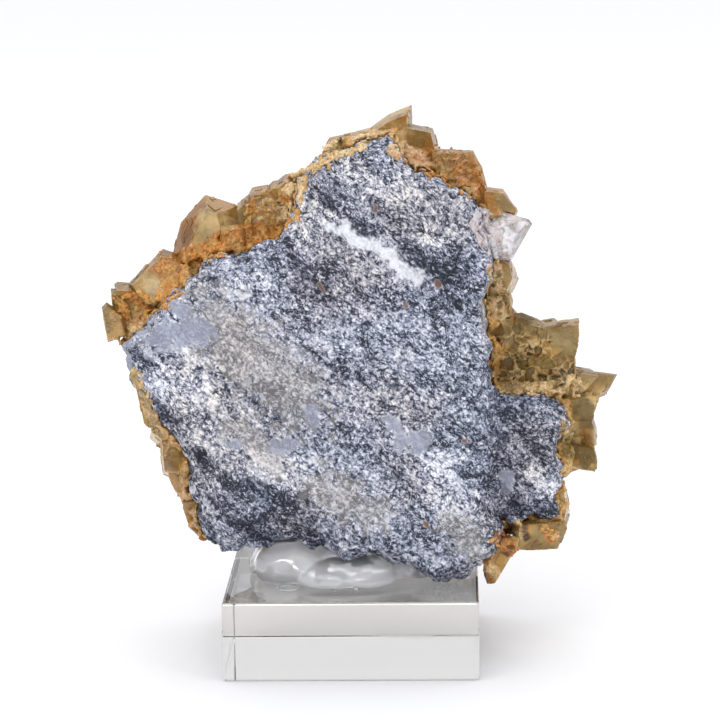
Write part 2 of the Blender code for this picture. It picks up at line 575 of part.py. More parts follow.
def grown_crystals():
    """Corners of the crystals on the far side, round the rim and on the bare near side."""
    draw = random.Random(CRYSTAL_SEED)
    found = []
    lows = [min(point[i] for point in CRUST_OUTLINE) for i in (0, 1)]
    highs = [max(point[i] for point in CRUST_OUTLINE) for i in (0, 1)]
    half = max(highs[i] - lows[i] for i in (0, 1)) / 2

    for spacing, edge_min, edge_max, sunk in (FAR_LARGE, FAR_SMALL):
        for mid_x, mid_z in scattered(draw, (*lows, *highs), spacing):
            edge = draw.uniform(edge_min, edge_max)
            away = math.hypot(mid_x - CRUST_MIDDLE[0], mid_z - CRUST_MIDDLE[1]) / half
            y = FAR_Y + FAR_DOME * (1.0 - away * away) - sunk
            outward = Vector(((mid_x - CRUST_MIDDLE[0]) / half, 1.0, (mid_z - CRUST_MIDDLE[1]) / half))
            for corners in grown_crystal(draw, Vector((mid_x, y, mid_z)), outward.normalized(), edge):
                if inside(CRUST_OUTLINE, mid_x, mid_z) and hidden_behind_rim(corners):
                    found.append(corners)

    for (x0, z0), (x1, z1) in zip(CRUST_OUTLINE, CRUST_OUTLINE[1:] + CRUST_OUTLINE[:1]):
        steps = max(1, round(math.hypot(x1 - x0, z1 - z0) / RIM_SPACING))
        for i in range(steps):
            share = (i + 0.5) / steps
            y = draw.uniform(RIM_Y_MIN, RIM_Y_MAX)
            mid = Vector((x0 + (x1 - x0) * share, y, z0 + (z1 - z0) * share))
            outward = Vector((z0 - z1, RIM_TURNED_BACK, x1 - x0)).normalized()
            inward = Vector((CRUST_MIDDLE[0] - mid.x, 0.0, CRUST_MIDDLE[1] - mid.z)).normalized()
            edge = draw.uniform(RIM_EDGE_MIN, RIM_EDGE_MAX)
            for corners in grown_crystal(draw, mid + inward * edge * RIM_SUNK, outward, edge):
                if hidden_behind_rim(corners):
                    found.append(corners)

    for x, z in scattered(draw, BARE_AREA, BARE_SPACING):
        edge = draw.uniform(BARE_EDGE_MIN, BARE_EDGE_MAX)
        middle = Vector((x, CRUST_FRONT_Y + BARE_SUNK * edge, z))
        corners = grown_crystal(draw, middle, Vector((0.0, -1.0, 0.0)), edge)[0]
        if hidden_behind_rim(corners):
            found.append(corners)
    return found


def crust(finish, neighbours):
    """The siderite: a core slab, the rim crystals and the grown ones, cut clear of its neighbours."""
    core_outline = [(p.x, p.z) for p in ring(CRUST_OUTLINE, 0.0, middle=CRUST_MIDDLE, inset=CORE_INSET)]
    made = object_of("siderite_crust", loft([
        ring(core_outline, CRUST_FRONT_Y, middle=CRUST_MIDDLE),
        ring(core_outline, CRUST_BACK_Y, middle=CRUST_MIDDLE, inset=CORE_BACK_INSET),
    ]), finish)
    group = bpy.data.collections.new("crystals")
    bpy.context.scene.collection.children.link(group)
    solids = [hull_of([point for y, corners in PEAK_CRYSTAL for point in ring(corners, y)])]
    draw = random.Random(CRYSTAL_SEED)
    solids += [rim_crystal(draw, *crystal) for crystal in RIM_CRYSTALS.values()]
    solids += [hull_of(corners) for corners in grown_crystals()]
    for shape in solids:
        obj = helper(object_of("crystal", shape))
        bpy.context.scene.collection.objects.unlink(obj)
        group.objects.link(obj)
    boolean(made, group, "UNION")
    for obj in list(group.objects):
        bpy.data.objects.remove(obj)
    bpy.data.collections.remove(group)
    keep_largest_body(made)
    decimate(made, CRUST_TRIANGLES)
    for neighbour in neighbours:
        cut_clear(made, neighbour)
    keep_largest_body(made)
    return made


def cut_clear(obj, neighbour):
    """Cuts a neighbour out of an object, with the clear space all round it."""
    cutter = helper(object_of("cutter", bmesh.new()))
    cutter.data = neighbour.data.copy()
    swell = cutter.modifiers.new("Swell", "DISPLACE")
    swell.strength = CUTTER_SWELL * MM
    swell.mid_level = 0.0
    remesh(cutter, CUTTER_VOXEL)
    decimate(cutter, CUTTER_TRIANGLES)
    boolean(obj, cutter, "DIFFERENCE")
    bpy.data.objects.remove(cutter)


def clear_crystal(finish, rock_solid):
    made = object_of("clear_crystal", hull_of(
        [point for y, corners in CLEAR_CRYSTAL for point in ring(corners, y)]), finish)
    cut_clear(made, rock_solid)
    keep_largest_body(made)
    return made


def acrylic_block(finish):
    shape = bmesh.new()
    bmesh.ops.create_cube(shape, size=1.0)
    bmesh.ops.scale(shape, vec=(BLOCK_SIDE * MM, BLOCK_SIDE * MM, BLOCK_HEIGHT * MM), verts=shape.verts)
    bmesh.ops.translate(shape, vec=(0.0, 0.0, BLOCK_HEIGHT * MM / 2), verts=shape.verts)
    made = object_of("acrylic_block", shape, finish)
    edges = made.modifiers.new("Polished edges", "BEVEL")
    edges.width = BLOCK_EDGE * MM
    edges.segments = 2
    return made


def glue(finish, neighbours):
    """A lumpy bead and puddle, flat on the block and pressed up against the rock."""
    blobs = bmesh.new()
    for middle, half in GLUE_BLOBS:
        place = Matrix.Translation(Vector(middle) * MM) @ Matrix.Diagonal((*(Vector(half) * MM), 1.0))
        bmesh.ops.create_uvsphere(blobs, u_segments=24, v_segments=14, radius=1.0, matrix=place)
    made = object_of("mounting_glue", blobs, finish)
    remesh(made, GLUE_VOXEL)
    soften = made.modifiers.new("Soft surface", "SMOOTH")
    soften.factor = GLUE_SOFTENING
    soften.iterations = GLUE_SOFTENING_PASSES
    bake_modifiers(made)
    decimate(made, GLUE_TRIANGLES)
    floor = bmesh.new()
    bmesh.ops.create_cube(floor, size=TRIMMER)
    below = helper(object_of("below", floor))
    below.location.z = (BLOCK_HEIGHT + GAP) * MM - TRIMMER / 2
    boolean(made, below, "DIFFERENCE")
    bpy.data.objects.remove(below)
    for neighbour in neighbours:
        cut_clear(made, neighbour)
    keep_largest_body(made)
    made.data.shade_smooth()
    made.data.set_sharp_from_angle(angle=GLUE_SHARP_ANGLE)
    return made


def build():
    clear_scene()
    acrylic_block(material("clear acrylic", (0.95, 0.96, 0.97), 0.04, transmission=1.0, ior=1.49))
    stone = rock(material("granular quartz rock", (0.42, 0.42, 0.45), 0.75))
    glass = clear_crystal(
        material("clear quartz", (0.95, 0.93, 0.93), 0.05, transmission=1.0, ior=1.54), stone
    )
    brown = crust(
        material("siderite", (0.45, 0.27, 0.09), 0.3, transmission=0.3, ior=1.8), [stone, glass]
    )
    glue(material("hot-melt glue", (0.85, 0.85, 0.86), 0.2, transmission=0.8, ior=1.48), [stone, brown])


build()
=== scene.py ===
"""Siderite crystals on grey granular rock, glued to a clear block: the finish of every surface.

Metres, +Z up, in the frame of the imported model. Lengths named here are in millimetres unless
their names say otherwise, and MM turns them into metres.
"""

import functools
import math
import random

import bmesh
import bpy
import numpy as np
from mathutils import Matrix, Vector, noise
from mathutils.bvhtree import BVHTree
from mathutils.kdtree import KDTree


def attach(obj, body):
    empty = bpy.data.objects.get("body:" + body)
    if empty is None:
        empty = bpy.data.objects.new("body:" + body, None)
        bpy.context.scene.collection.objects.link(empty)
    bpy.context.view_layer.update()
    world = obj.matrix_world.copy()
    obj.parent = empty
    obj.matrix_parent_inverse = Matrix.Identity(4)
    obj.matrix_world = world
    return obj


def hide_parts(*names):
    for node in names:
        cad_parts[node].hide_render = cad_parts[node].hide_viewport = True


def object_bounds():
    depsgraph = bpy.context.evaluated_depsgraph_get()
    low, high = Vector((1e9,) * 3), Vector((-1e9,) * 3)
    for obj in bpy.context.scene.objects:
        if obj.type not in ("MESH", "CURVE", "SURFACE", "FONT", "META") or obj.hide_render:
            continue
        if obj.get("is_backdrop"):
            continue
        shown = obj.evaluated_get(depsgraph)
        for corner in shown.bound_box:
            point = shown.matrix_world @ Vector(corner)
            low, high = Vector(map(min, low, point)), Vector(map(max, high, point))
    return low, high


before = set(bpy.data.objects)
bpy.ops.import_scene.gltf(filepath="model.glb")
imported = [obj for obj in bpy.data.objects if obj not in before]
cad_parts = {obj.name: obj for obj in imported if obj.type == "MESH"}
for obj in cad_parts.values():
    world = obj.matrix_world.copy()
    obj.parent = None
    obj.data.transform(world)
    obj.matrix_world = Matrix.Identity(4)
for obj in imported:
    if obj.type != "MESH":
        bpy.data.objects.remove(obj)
CAD_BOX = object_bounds()

MM = 0.001
# Corners nearer than this are one corner, in metres.
MERGE = 2e-6

# The camera: its place, the angles it is turned by, and its lens on a 36 mm sensor.
CAMERA_PLACE = (20.6, -616.9, 171.9)
CAMERA_YAW, CAMERA_PITCH, CAMERA_ROLL = (math.radians(a) for a in (-1.747, 10.286, -0.732))
CAMERA_LENS, CAMERA_SENSOR = 154.95, 36

# Light of the room, and lamps as (name, place, target, width, height, brightness), in metres.
WORLD_SIDES, WORLD_BEHIND, WORLD_OVERHEAD = 0.56, 0.22, 0.72
LAMPS = [
    ("key", (-0.35, -0.70, 0.90), (0, 0, 0.06), 0.75, 0.13, 8),
    ("second", (0.75, -0.60, 0.60), (0, 0, 0.06), 0.10, 0.40, 6),
    ("left window", (-0.02, -0.90, 0.60), (0, 0, 0.02), 0.10, 0.06, 26),
    ("right window", (0.24, -0.90, 0.60), (0, 0, 0.02), 0.10, 0.06, 26),
    ("behind", (0, 0.90, 1.00), (0, 0, 0.05), 1.00, 0.30, 1.1),
]
# The floor's half width in metres, and its distance below the block.
FLOOR_HALF, FLOOR_GAP = 4, 0.05
FLOOR_COLOUR = (0.955, 0.95, 0.945)
ROOM_COLOUR = (0.975, 0.985, 1.03)

# Foliation of the rock, falling to the right at this angle.
GRAIN_ANGLE = math.radians(40)

# The rock's fine surface.
ROCK_VOXEL = 0.37
ROCK_SMOOTHING, ROCK_SMOOTHING_PASSES = 0.5, 10
# Behind this depth, its hidden back keeps this share of its faces.
ROCK_BACK_Y, ROCK_BACK_SHARE = 3.6, 0.12
# The relief fades over this depth behind it, and the marks over this depth before it.
RELIEF_FADE, MARKS_FADE = 0.8, 2
# Roughness of the broken faces: height, size of the lumps, and stretch along the foliation.
ROCK_LUMPS = [(0.55, 5, 1.8), (0.42, 2.2, 1.6), (0.26, 1, 1.3)]
ROCK_SWELL = 0.12
GRANULE_HEIGHT, GRANULE_SIZE = 0.16, 0.85
# How deep dark marks lie, how far smooth ones stand up, and how much relief the smooth ones lose.
DARK_SUNK, CALM_RAISED, CALM_LOSS = 0.35, 0.1, 0.8
# How far the rim strays sideways, so that it isn't evenly round, and the size of its bends.
ROCK_RIM_STRAY, RIM_BEND = 1.6, 2.6
# It strays where normals point this far sideways: from the first on, and fully at the second.
RIM_FROM, RIM_FULL = 0.3125, 0.9375

# Colours as linear red, green and blue.
WHITE = (0.86, 0.88, 0.93)
LILAC = (0.36, 0.38, 0.47)
BEIGE = (0.48, 0.44, 0.39)
RUST = (0.22, 0.085, 0.03)
# Marks of the rock that darken or lighten its grain; the dim ones are painted shade over its recessed
# parts.
ROCK_SHADES = {"dim": -0.55, "pale": 1, "dark": -1}
# Marks of the rock with a colour of their own, how far each hides the grain, and which are smooth.
ROCK_TINTS = {"beige": (BEIGE, 0.4), "lilac": (LILAC, 0.85), "white": (WHITE, 0.95), "rust": (RUST, 0.9)}
SMOOTH_KINDS = ("lilac", "white")
TONES = {
    "honey": (0.66, 0.42, 0.14),
    "amber": (0.36, 0.15, 0.002),
    "olive": (0.38, 0.29, 0.10),
    "olive_dark": (0.21, 0.155, 0.045),
    "orange": (0.74, 0.36, 0.10),
    "russet": (0.66, 0.34, 0.10),
    "salmon": (0.70, 0.40, 0.24),
    "pale": (0.74, 0.58, 0.34),
    "cream": (0.88, 0.70, 0.48),
    "pink": (0.66, 0.48, 0.33),
    "brown": (0.46, 0.31, 0.14),
    "drab": (0.45, 0.36, 0.19),
    "white": (0.93, 0.91, 0.92),
    "pinkish": (0.86, 0.76, 0.74),
    "rust": (0.22, 0.08, 0.03),
    # Near black: painted shadow for the crevices between crystals.
    "crevice_shadow": (0.07, 0.022, 0.008),
}
# How much red, green and blue the faces that look up lose, as painted shade, and how far faces differ in
# painted shade.
UPPER_PAINTED_SHADE = (0.22, 0.30, 0.50)
FACE_PAINTED_SHADE = 0.55
# Faces' painted shade differs by noise read this far along their normals, with lumps of this size.
FACE_TURN, FACE_SIZE = 40, 16
BASE_TONES = ["olive_dark", "olive", "amber", "drab", "honey", "honey", "pale", "cream"]

# Waves that colours and the edges of marks follow, as (height, size, place in the noise).
TONE_WAVES = [(0.8, 9, 11), (0.3, 3, 13)]
CRYSTAL_MARK_EDGE = [(0.8, 1.6, 3), (0.4, 0.7, 7)]
WALLED_EDGE = [(0.5, 2, 19)]
GRAIN_PATCH_EDGE = [(0.5, 1.6, 3), (0.3, 0.7, 7)]
ROCK_MARK_EDGE = [(0.9, 2.2, 3), (0.7, 0.9, 7)]
# In half widths: a mark is full up to the first, and gone after the second more.
MARK_FULL, MARK_FADE = 0.8, 0.5
CRYSTAL_MARK_STRENGTH = 0.9

# Marks on the rock's broad face by kind, each as its half width, then x and z of points along it.
ROCK_MARKS = {
    # Painted shade over recessed parts of the rock, such as the lobe on the right.
    "dim": [
        (8, 34, 49, 36, 33), (5, -22, 31, -8, 27), (2.5, 14, 82, 22, 78), (2, -10, 80, -4, 72),
    ],
    "pale": [
        (2.6, -10, 87.5, -6, 91.5), (2, -23, 76, -17, 77), (4, -37, 59.5, -31, 55.5),
        (2.6, 37, 36, 40.5, 32), (2.2, -0.5, 99.5, 10.5, 95.5), (4, -18, 40.5, -10, 38),
        (3.6, 18, 40, 20, 33.5), (1.6, -36, 64, -27, 60.5), (1, 15, 88, 16, 87.5),
        (1.2, 15, 85.5, 18, 85),
    ],
    # Dark marks: partly the rock's dark films, partly painted shadow along its steps.
    "dark": [
        (0.6, -11.5, 82.5, -9, 79, -6, 75.5, -4.5, 73), (1, -4.5, 93.5, -2, 92.5),
        (0.6, 5.5, 93, 5.5, 91), (1.2, 1.5, 89, 4.5, 86.5), (1, 21.5, 84, 22, 81.5),
        (1.8, 12, 82.5, 18, 78.5), (0.8, 18.5, 76, 20.5, 73.5), (0.8, 22, 72.5, 22.5, 71.5),
        (0.6, -43, 62.5, -38.5, 60.5), (1, -39.5, 53, -35.5, 49), (0.3, -19.5, 58.5, -19, 51.5),
        (1, -30.5, 43, -29.5, 40.5), (0.8, -29, 73, -28, 72.5), (0.6, 15, 47, 16, 44.5),
        (0.4, 1.5, 59.5, 4, 55.5), (1.8, -9.5, 34.5, -8.5, 28.5), (3, -23, 35.5, -8.5, 31),
        (1, -24, 34, -20.5, 29, -17, 24.5), (1.2, 29, 46, 30, 44.5), (1, 40, 51.5, 42.5, 49.5),
        (1.4, 38, 41.5, 41.5, 41), (2, 31, 29, 41, 29), (0.8, 33, 34, 33.5, 33),
        (1.4, 29.5, 52, 32.5, 50), (1.2, -36, 46, -32, 38), (1, -31, 32, -27.5, 26),
    ],
    "beige": [
        (6.3, -26.5, 69, -10, 54.5), (4, -6, 37, 4, 32), (1, 27, 74.5, 27, 65.5),
        (3.2, -22, 48.5, -16, 42), (2.8, 20.5, 30, 23.5, 24.5),
    ],
    "lilac": [
        (2.6, -39, 66, -34, 67.5, -29, 67.5), (1.8, -45.5, 64.5, -45, 60), (1.8, 10.5, 46, 14, 45.5),
        (1.3, 8, 50, 8.5, 49.5), (1.3, -8, 52, -6.5, 50), (1.3, -15, 45, -12, 45.5),
        (1.1, -23.5, 45, -22.5, 45), (1.3, 31.5, 36, 31.5, 34), (1.3, -34, 72.5, -33.5, 72),
    ],
    "white": [
        (0.8, -3.5, 88.5, -2, 87), (1.2, -0.5, 88, 1.5, 85.5, 3.5, 85), (0.7, 4.5, 84.5, 7, 83.5),
        (1.4, 7.5, 83, 10, 81, 11, 79, 13.5, 77.5),
    ],
    "rust": [
        (0.5, 17.5, 76.5, 18, 76), (0.4, 22.5, 45.5, 23, 45.5), (0.5, 5.5, 92, 5.5, 91.5),
        (0.6, 14.5, 29.5, 15, 29), (0.4, -6, 77, -5, 75.5), (0.4, 11, 73, 11.5, 72.5),
        (0.6, 35, 25.5, 35.5, 23.5),
    ],
}

# Marks on the crystals in the same form, where the front view shows them on the plane y = 0.
# The crevice marks are painted shadow in crevices.
CRYSTAL_MARKS = [
    ("amber", 2.6, -31.5, 91, -33.5, 86.5, -35.5, 83), ("honey", 1.2, -28, 93, -23, 91.5),
    ("cream", 1.6, -9, 97.5, -4.5, 100.5, -0.5, 103), ("pale", 1.8, -28.5, 89, -30, 83.5),
    ("pale", 1.5, -25, 87.5, -23.5, 85.5), ("orange", 1.5, -36, 80, -29, 82.5, -21, 86, -15, 87),
    ("russet", 2.6, -38.5, 80, -35, 77.5), ("olive", 0.5, -40.5, 80.5, -36, 82.5),
    ("olive", 0.7, -48, 74, -44.5, 75.5), ("olive", 0.8, -49.5, 71.5, -49, 66.5),
    ("honey", 1.8, -45.5, 73, -41.5, 72), ("rust", 0.7, -39.5, 70.5, -39, 69),
    ("cream", 1.2, -43, 70, -40, 70), ("pink", 2, -17.5, 90.5, -13, 91.5),
    ("orange", 1.2, -12, 94, -6, 96.5, -4, 99.5), ("pale", 1.6, -10.5, 95.5, -3.5, 101, 0.5, 104),
    ("olive", 0.8, -3.5, 104, -2, 104.5), ("cream", 0.5, 5, 107.5, 8.5, 109.5, 12, 111),
    ("orange", 0.8, 11, 108.5, 11.5, 107), ("drab", 2, 14, 105.5, 16.5, 104),
    ("pale", 2.4, 4, 105.5, 10, 106.5), ("pink", 1.6, 10, 103, 14.5, 101),
    ("russet", 3.4, 16.5, 101, 21, 99.5, 25, 97.5), ("salmon", 1.2, 23, 97, 24.5, 95),
    ("crevice_shadow", 0.5, 25.5, 94.5, 26, 88.5), ("russet", 1.6, 27.5, 93, 28.5, 90),
    ("drab", 1.2, 30.5, 92, 32, 91), ("pink", 2.2, 27, 88, 29.5, 84), ("drab", 1.6, 30, 80.5, 30.5, 72),
    ("pink", 0.5, 29, 79.5, 29.5, 70), ("olive_dark", 1.6, 35.5, 68.5, 37, 66),
    ("drab", 3, 40, 66.5, 44, 63.5), ("drab", 2, 32, 66, 34, 61.5), ("olive", 1.2, 39, 59, 41, 58),
    ("brown", 1, 42.5, 59.5, 44, 58.5), ("cream", 1.8, 45, 55, 46.5, 53),
    ("drab", 1.6, 47, 56.5, 52.5, 55), ("olive_dark", 2.2, 46, 51.5, 48, 47),
    ("amber", 0.9, 47, 44.5, 48, 43.5), ("olive_dark", 2.4, 44, 41.5, 48, 39.5),
    ("cream", 0.7, 44, 37.5, 44, 36), ("pale", 2.2, -44, 57, -41, 47),
    ("pink", 1.8, -38.5, 39.5, -34.5, 29), ("drab", 1.8, 38, 23.5, 42, 22.5),
    ("orange", 0.8, 39.5, 23.5, 40.5, 22.5), ("crevice_shadow", 0.6, 35, 25, 35.5, 23),
    ("rust", 1.3, 30, 23, 31.5, 20.5), ("cream", 1, 28, 16.5, 29.5, 14.5), ("amber", 1, 26, 16, 27, 14),
]
# Patches of thin pale walls round small cells, in the same form.
WALLED = [
    (3.2, 31, 64, 31.5, 56), (3.4, 36.5, 62.5, 37.5, 56), (2.4, 41, 58.5, 44.5, 56),
    (1.6, 29.5, 74, 30.5, 69),
]
WALL_CELL, WALL_HEIGHT, WALL_WIDTH, WALL_STEEPNESS = 2.7, 0.8, 0.3, 0.6
# The cells are drawn out in depth by this squeeze, and bent by waves of this height and size.
CELL_SQUEEZE = np.array([1, 0.45, 1])
WALL_BEND, WALL_BEND_SIZE = 0.5, 2.5
# Walls stand on faces whose normal's part along Y is less than this.
WALL_FACING = 0.3
# Dark cells lie this deep, up to this share of a cell from their middle.
DARK_CELL_SUNK, DARK_CELL_REACH = 0.9, 0.62
# How much lighter walled patches are, how strongly dark cells get painted shade and walls are
# tinted, and how far cells differ.
WALLED_LIGHTER, DARK_CELL_PAINTED_SHADE, WALL_STRENGTH, CELL_VARIETY = 0.35, 0.45, 0.8, 0.5
# Places are spread by these before noise draws a lot for each cell or cluster of grains.
CELL_LOT, CELL_LOT_SHIFT, CLUSTER_LOT = 1.7, Vector((0.5, 0.5, 0.5)), 3.7
# Cells that are dark inside, where the front view shows their middles; their sunk middles get painted
# shade.
DARK_CELLS = [(33.5, 58), (37, 59), (28.8, 62.5), (34.5, 60.5), (40.5, 56.5), (31.5, 56.5)]

# The crystals' fine surface: longest edge at the back, at the front and where the walls are.
CRYSTAL_EDGES = (2.8, 1.05, 0.42)
CRYSTAL_FRONT_Y, CUT_ROUNDS = 16, 6
CRYSTAL_WAVES = [(0.10, 4, 4), (0.05, 1.2, 1.2)]
# Growth steps: thin plates on the crystals' faces, one to this many square millimetres.
STEP_AREA = 5
STEP_SIZE, STEP_HEIGHT, STEP_TILT = (0.8, 3.2), (0.06, 0.26), math.radians(1.6)
STEP_SUNK, STEP_STRETCH, STEP_LIGHTNESS = 0.4, (0.5, 1.1), (0.92, 1.10)
# The longest step that fits, at the rim of a face and growing inwards from it.
STEP_RIM_START, STEP_RIM_SLOPE = 0.3, 1.5
# Faces that differ by less than this are one face of a crystal.
FLAT_ANGLE = math.radians(1.5)
# The angle between the edges of a rhombohedron's face.
RHOMB_ANGLE = math.radians(75)

# Grains along the seam between the rock and the crystals. Lines of sight of the front view look
# for it, at this spacing and up to this far over the top.
SIGHT_SPACING, SIGHT_MARGIN = 0.5, 5
# How far grains reach over the crystals and the rock, and those of a patch over the rock.
SEAM_ON_CRYSTALS, SEAM_ON_ROCK, PATCH_ON_ROCK = 1.7, 0.42, 4.5
# The seam's width varies by this much, over this distance, and never falls below this share.
SEAM_UNEVEN, SEAM_UNEVEN_SIZE, SEAM_NARROWEST = 1.2, 2.5, 0.2
# Chances of a grain on the rock, of a second one on the seam, and of one in a patch.
ROCK_GRAIN_SHARE, SECOND_GRAIN_SHARE, PATCH_GRAIN_SHARE = 0.6, 0.5, 0.85
# How much of its own tone a grain shows: in a patch, times the patch's strength, and elsewhere.
PATCH_TONE_GAIN, SEAM_TONE_SHARE = 1.4, 0.4
# How much larger grains are on the rock, in a patch on the rock, in a patch on the crystals and
# where they are the second one, which lies this much deeper.
ROCK_GRAIN_GAIN, PATCH_ON_ROCK_GAIN, PATCH_GRAIN_GAINS = 0.8, 1.2, (0.7, 1.3)
SECOND_GRAIN_GAIN, SECOND_GRAIN_BACK = 1.5, 0.5
# The step in depth at the seam counts from this depth, eases off by this power, and is filled
# at this spacing.
STEP_FREE, STEP_EASE, FILLER_SPACING = 0.8, 1.3, 1.1
# Radii of the grains and of those in that step, the share of its places that are filled, and the
# deepest step that is.
GRAIN_SIZES, FILLER_SIZES, FILLER_SHARE, FILLER_REACH = (0.28, 0.80), (0.8, 1.3), 0.6, 5
# Grains on the rock's flank lie this near the crystals, and cover this share of its points.
FLANK_REACH, FLANK_SHARE = 2.2, 0.14
# The flank has less than this of its normal along Y. Grains thin out away from the crystals by
# the second, and are larger by the third.
FLANK_FACING, FLANK_THINNING, FLANK_GRAIN_GAIN = 0.75, 0.7, 1.3
# Grains of one tone lie together in clusters of this size.
TONE_CLUSTER = 1.5
# The grains grow together into one skin on this net, rough to this height.
GRAIN_VOXEL, GRAIN_ROUGHNESS = 0.30, 0.22
# The size of the skin's lumps, the level they lie about, and how much the skin is smoothed.
GRAIN_LUMP, GRAIN_LEVEL, GRAIN_SMOOTHING = 0.9, 0.45, 0.5
# Each point of the skin takes the mean tone of this many corners of the grains.
TONE_NEIGHBOURS = 4
GRAIN_LIGHTNESS, GRAIN_FLATNESS = (0.84, 1.12), (0.6, 1)
# Grains of these tones are quartz.
QUARTZ_TONES = ("white", "pinkish")
# A broken grain: how many corners are drawn for it, and how far out they lie.
GRAIN_CORNERS, GRAIN_CORNER_RADII, GRAIN_SHAPES = 11, (0.75, 1), 14
# Broader patches of such grains in the form of the crystals' marks, with their tones.
GRAIN_PATCHES = [
    ("orange russet honey orange", 2.2, -37, 79.5, -29, 82.5, -21, 85.5, -15, 87),
    ("orange honey russet honey", 2.6, -45, 71.5, -39.5, 72, -36.5, 75),
    ("pale honey cream orange", 3.2, -18.5, 90.5, -12.5, 91),
    ("cream pale cream honey", 2.4, -11, 94.5, -10, 100, -3.5, 102.5, 1.5, 104.5),
    ("salmon cream pink", 1.8, 10, 102.5, 15, 100.5),
    ("russet brown salmon brown", 2.8, 17, 100, 22, 98.5, 24.5, 95.5),
    ("pinkish white pinkish", 2.2, 26.5, 88, 28, 84), ("white pinkish", 1.4, 29, 82, 31.5, 81.5),
    ("pink drab pale", 1.6, 29.5, 79, 29.5, 70), ("cream pale pink", 1.6, 44.5, 55.5, 46, 53),
    ("pale cream drab", 1.4, 31, 54, 42, 54), ("rust orange russet", 1.6, 30, 23, 32, 20.5),
    ("honey orange cream", 1.2, 38.5, 24.5, 41, 23),
    ("drab pale pink", 1.4, -44.5, 58, -41.5, 50, -38.5, 41),
    ("drab cream olive", 1.2, 43, 46, 44.5, 40.5),
]
SEAM_TONES = ["orange", "honey", "pale", "drab", "russet"]

# Width of the clear crystal's worn edges, and where along X it turns from milky to clear.
WORN_EDGE = 0.12
MILK_END, CLEAR_START = 29, 33.5

# Drops of glue on the block's top as (x, y, radius, height), a ring of it as (x, y, radius,
# thickness), and bubbles in the puddle's edge as (x, y, z, radius).
BLOCK_TOP = 15.875
DROPS = [(-20.7, 9.2, 1.5, 1.6), (-19.3, 6.5, 0.9, 0.9), (0.9, -15, 0.6, 0.5), (-3.4, -15.1, 0.45, 0.4)]
RING = (-12.9, -14.1, 1.9, 0.32)
BUBBLES = [
    (-15.4, -9.6, 17, 0.35), (-13.8, -9.2, 17.1, 0.22), (-9.5, -10.6, 17, 0.3),
    (-2.4, -11, 16.9, 0.28), (1.2, -9.8, 16.8, 0.3), (2, -9.2, 16.9, 0.2),
    (-17.6, -4, 17.3, 0.4), (6.2, -6.4, 17.2, 0.26),
]
GLUE_VOXEL, GLUE_SMOOTHING, GLUE_PASSES, GLUE_SWELL = 0.35, 0.5, 16, 0.36
# How far above the block's top the middles lie, as a share of the height.
DROP_LIFT, RING_LIFT = 0.2, 0.4
GLUE_WAVES = [(0.16, 3, 2)]

# Refractive indices.
ACRYLIC_INDEX, GLUE_INDEX, QUARTZ_INDEX, SIDERITE_INDEX = 1.49, 1.48, 1.54, 1.55


# Building meshes


def object_of(name, mesh):
    obj = bpy.data.objects.new(name, mesh)
    bpy.context.scene.collection.objects.link(obj)
    return obj


def shape_of(node):
    """The shape of a CAD node, its doubled corners merged."""
    shape = bmesh.new()
    shape.from_mesh(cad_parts[node].data)
    bmesh.ops.remove_doubles(shape, verts=shape.verts, dist=MERGE)
    return shape


def copy_of(node, name):
    shape = shape_of(node)
    bmesh.ops.recalc_face_normals(shape, faces=shape.faces)
    mesh = bpy.data.meshes.new(name)
    shape.to_mesh(mesh)
    shape.free()
    return object_of(name, mesh)


def modified(obj, kind, **settings):
    """Replaces an object's mesh by the one that a modifier makes of it."""
    modifier = obj.modifiers.new(kind, kind)
    for name, value in settings.items():
        setattr(modifier, name, value)
    bpy.context.view_layer.update()
    graph = bpy.context.evaluated_depsgraph_get()
    mesh = bpy.data.meshes.new_from_object(obj.evaluated_get(graph), depsgraph=graph)
    obj.modifiers.clear()
    obj.data = mesh


def remesh(obj, voxel):
    modified(obj, "REMESH", mode="VOXEL", voxel_size=voxel * MM)


def soften(obj, factor, passes):
    modified(obj, "SMOOTH", factor=factor, iterations=passes)


def thin_out(obj, chosen, share):
    """Keeps only a share of the faces round the chosen points."""
    group = obj.vertex_groups.new(name="thinned")
    group.add([int(i) for i in np.flatnonzero(chosen)], 1, "REPLACE")
    modified(obj, "DECIMATE", vertex_group="thinned", ratio=share)


def rows_of(values, name, width):
    """One row of numbers for each point."""
    flat = np.empty(len(values) * width, np.float32)
    values.foreach_get(name, flat)
    return flat.reshape(-1, width)


def points_of(obj):
    """Places of an object's points, in millimetres."""
    return rows_of(obj.data.vertices, "co", 3) / MM


def normals_of(obj):
    return rows_of(obj.data.vertex_normals, "vector", 3)


def set_points(obj, points):
    obj.data.vertices.foreach_set("co", (points * MM).astype(np.float32).ravel())
    obj.data.update()


def store(obj, name, values):
    """Keeps a number or a colour for each point, for the materials to read."""
    kind, field = ("FLOAT", "value") if values.ndim == 1 else ("FLOAT_COLOR", "color")
    layer = obj.data.attributes.new(name, kind, "POINT")
    layer.data.foreach_set(field, values.astype(np.float32).ravel())


# Fields over points


def along_grain(points):
    """The points turned so that the first axis runs along the foliation and the third across it."""
    cosine, sine = math.cos(GRAIN_ANGLE), math.sin(GRAIN_ANGLE)
    x, y, z = points.T
    return np.stack([x * cosine - z * sine, y, x * sine + z * cosine], 1)


def shift_to(place):
    """A shift by which each field gets a part of the noise to itself."""
    return Vector((place, 2.3 * place, 5.1 * place))


def waves(points, size, place=0):
    """Smooth noise about zero, with lumps of this size."""
    shift = shift_to(place)
    return np.array([noise.noise(Vector(p) / size + shift) for p in points.tolist()])


def layered(points, layers):
    """The sum of waves given as (height, size, place)."""
    return sum(height * waves(points, size, place) for height, size, place in layers)


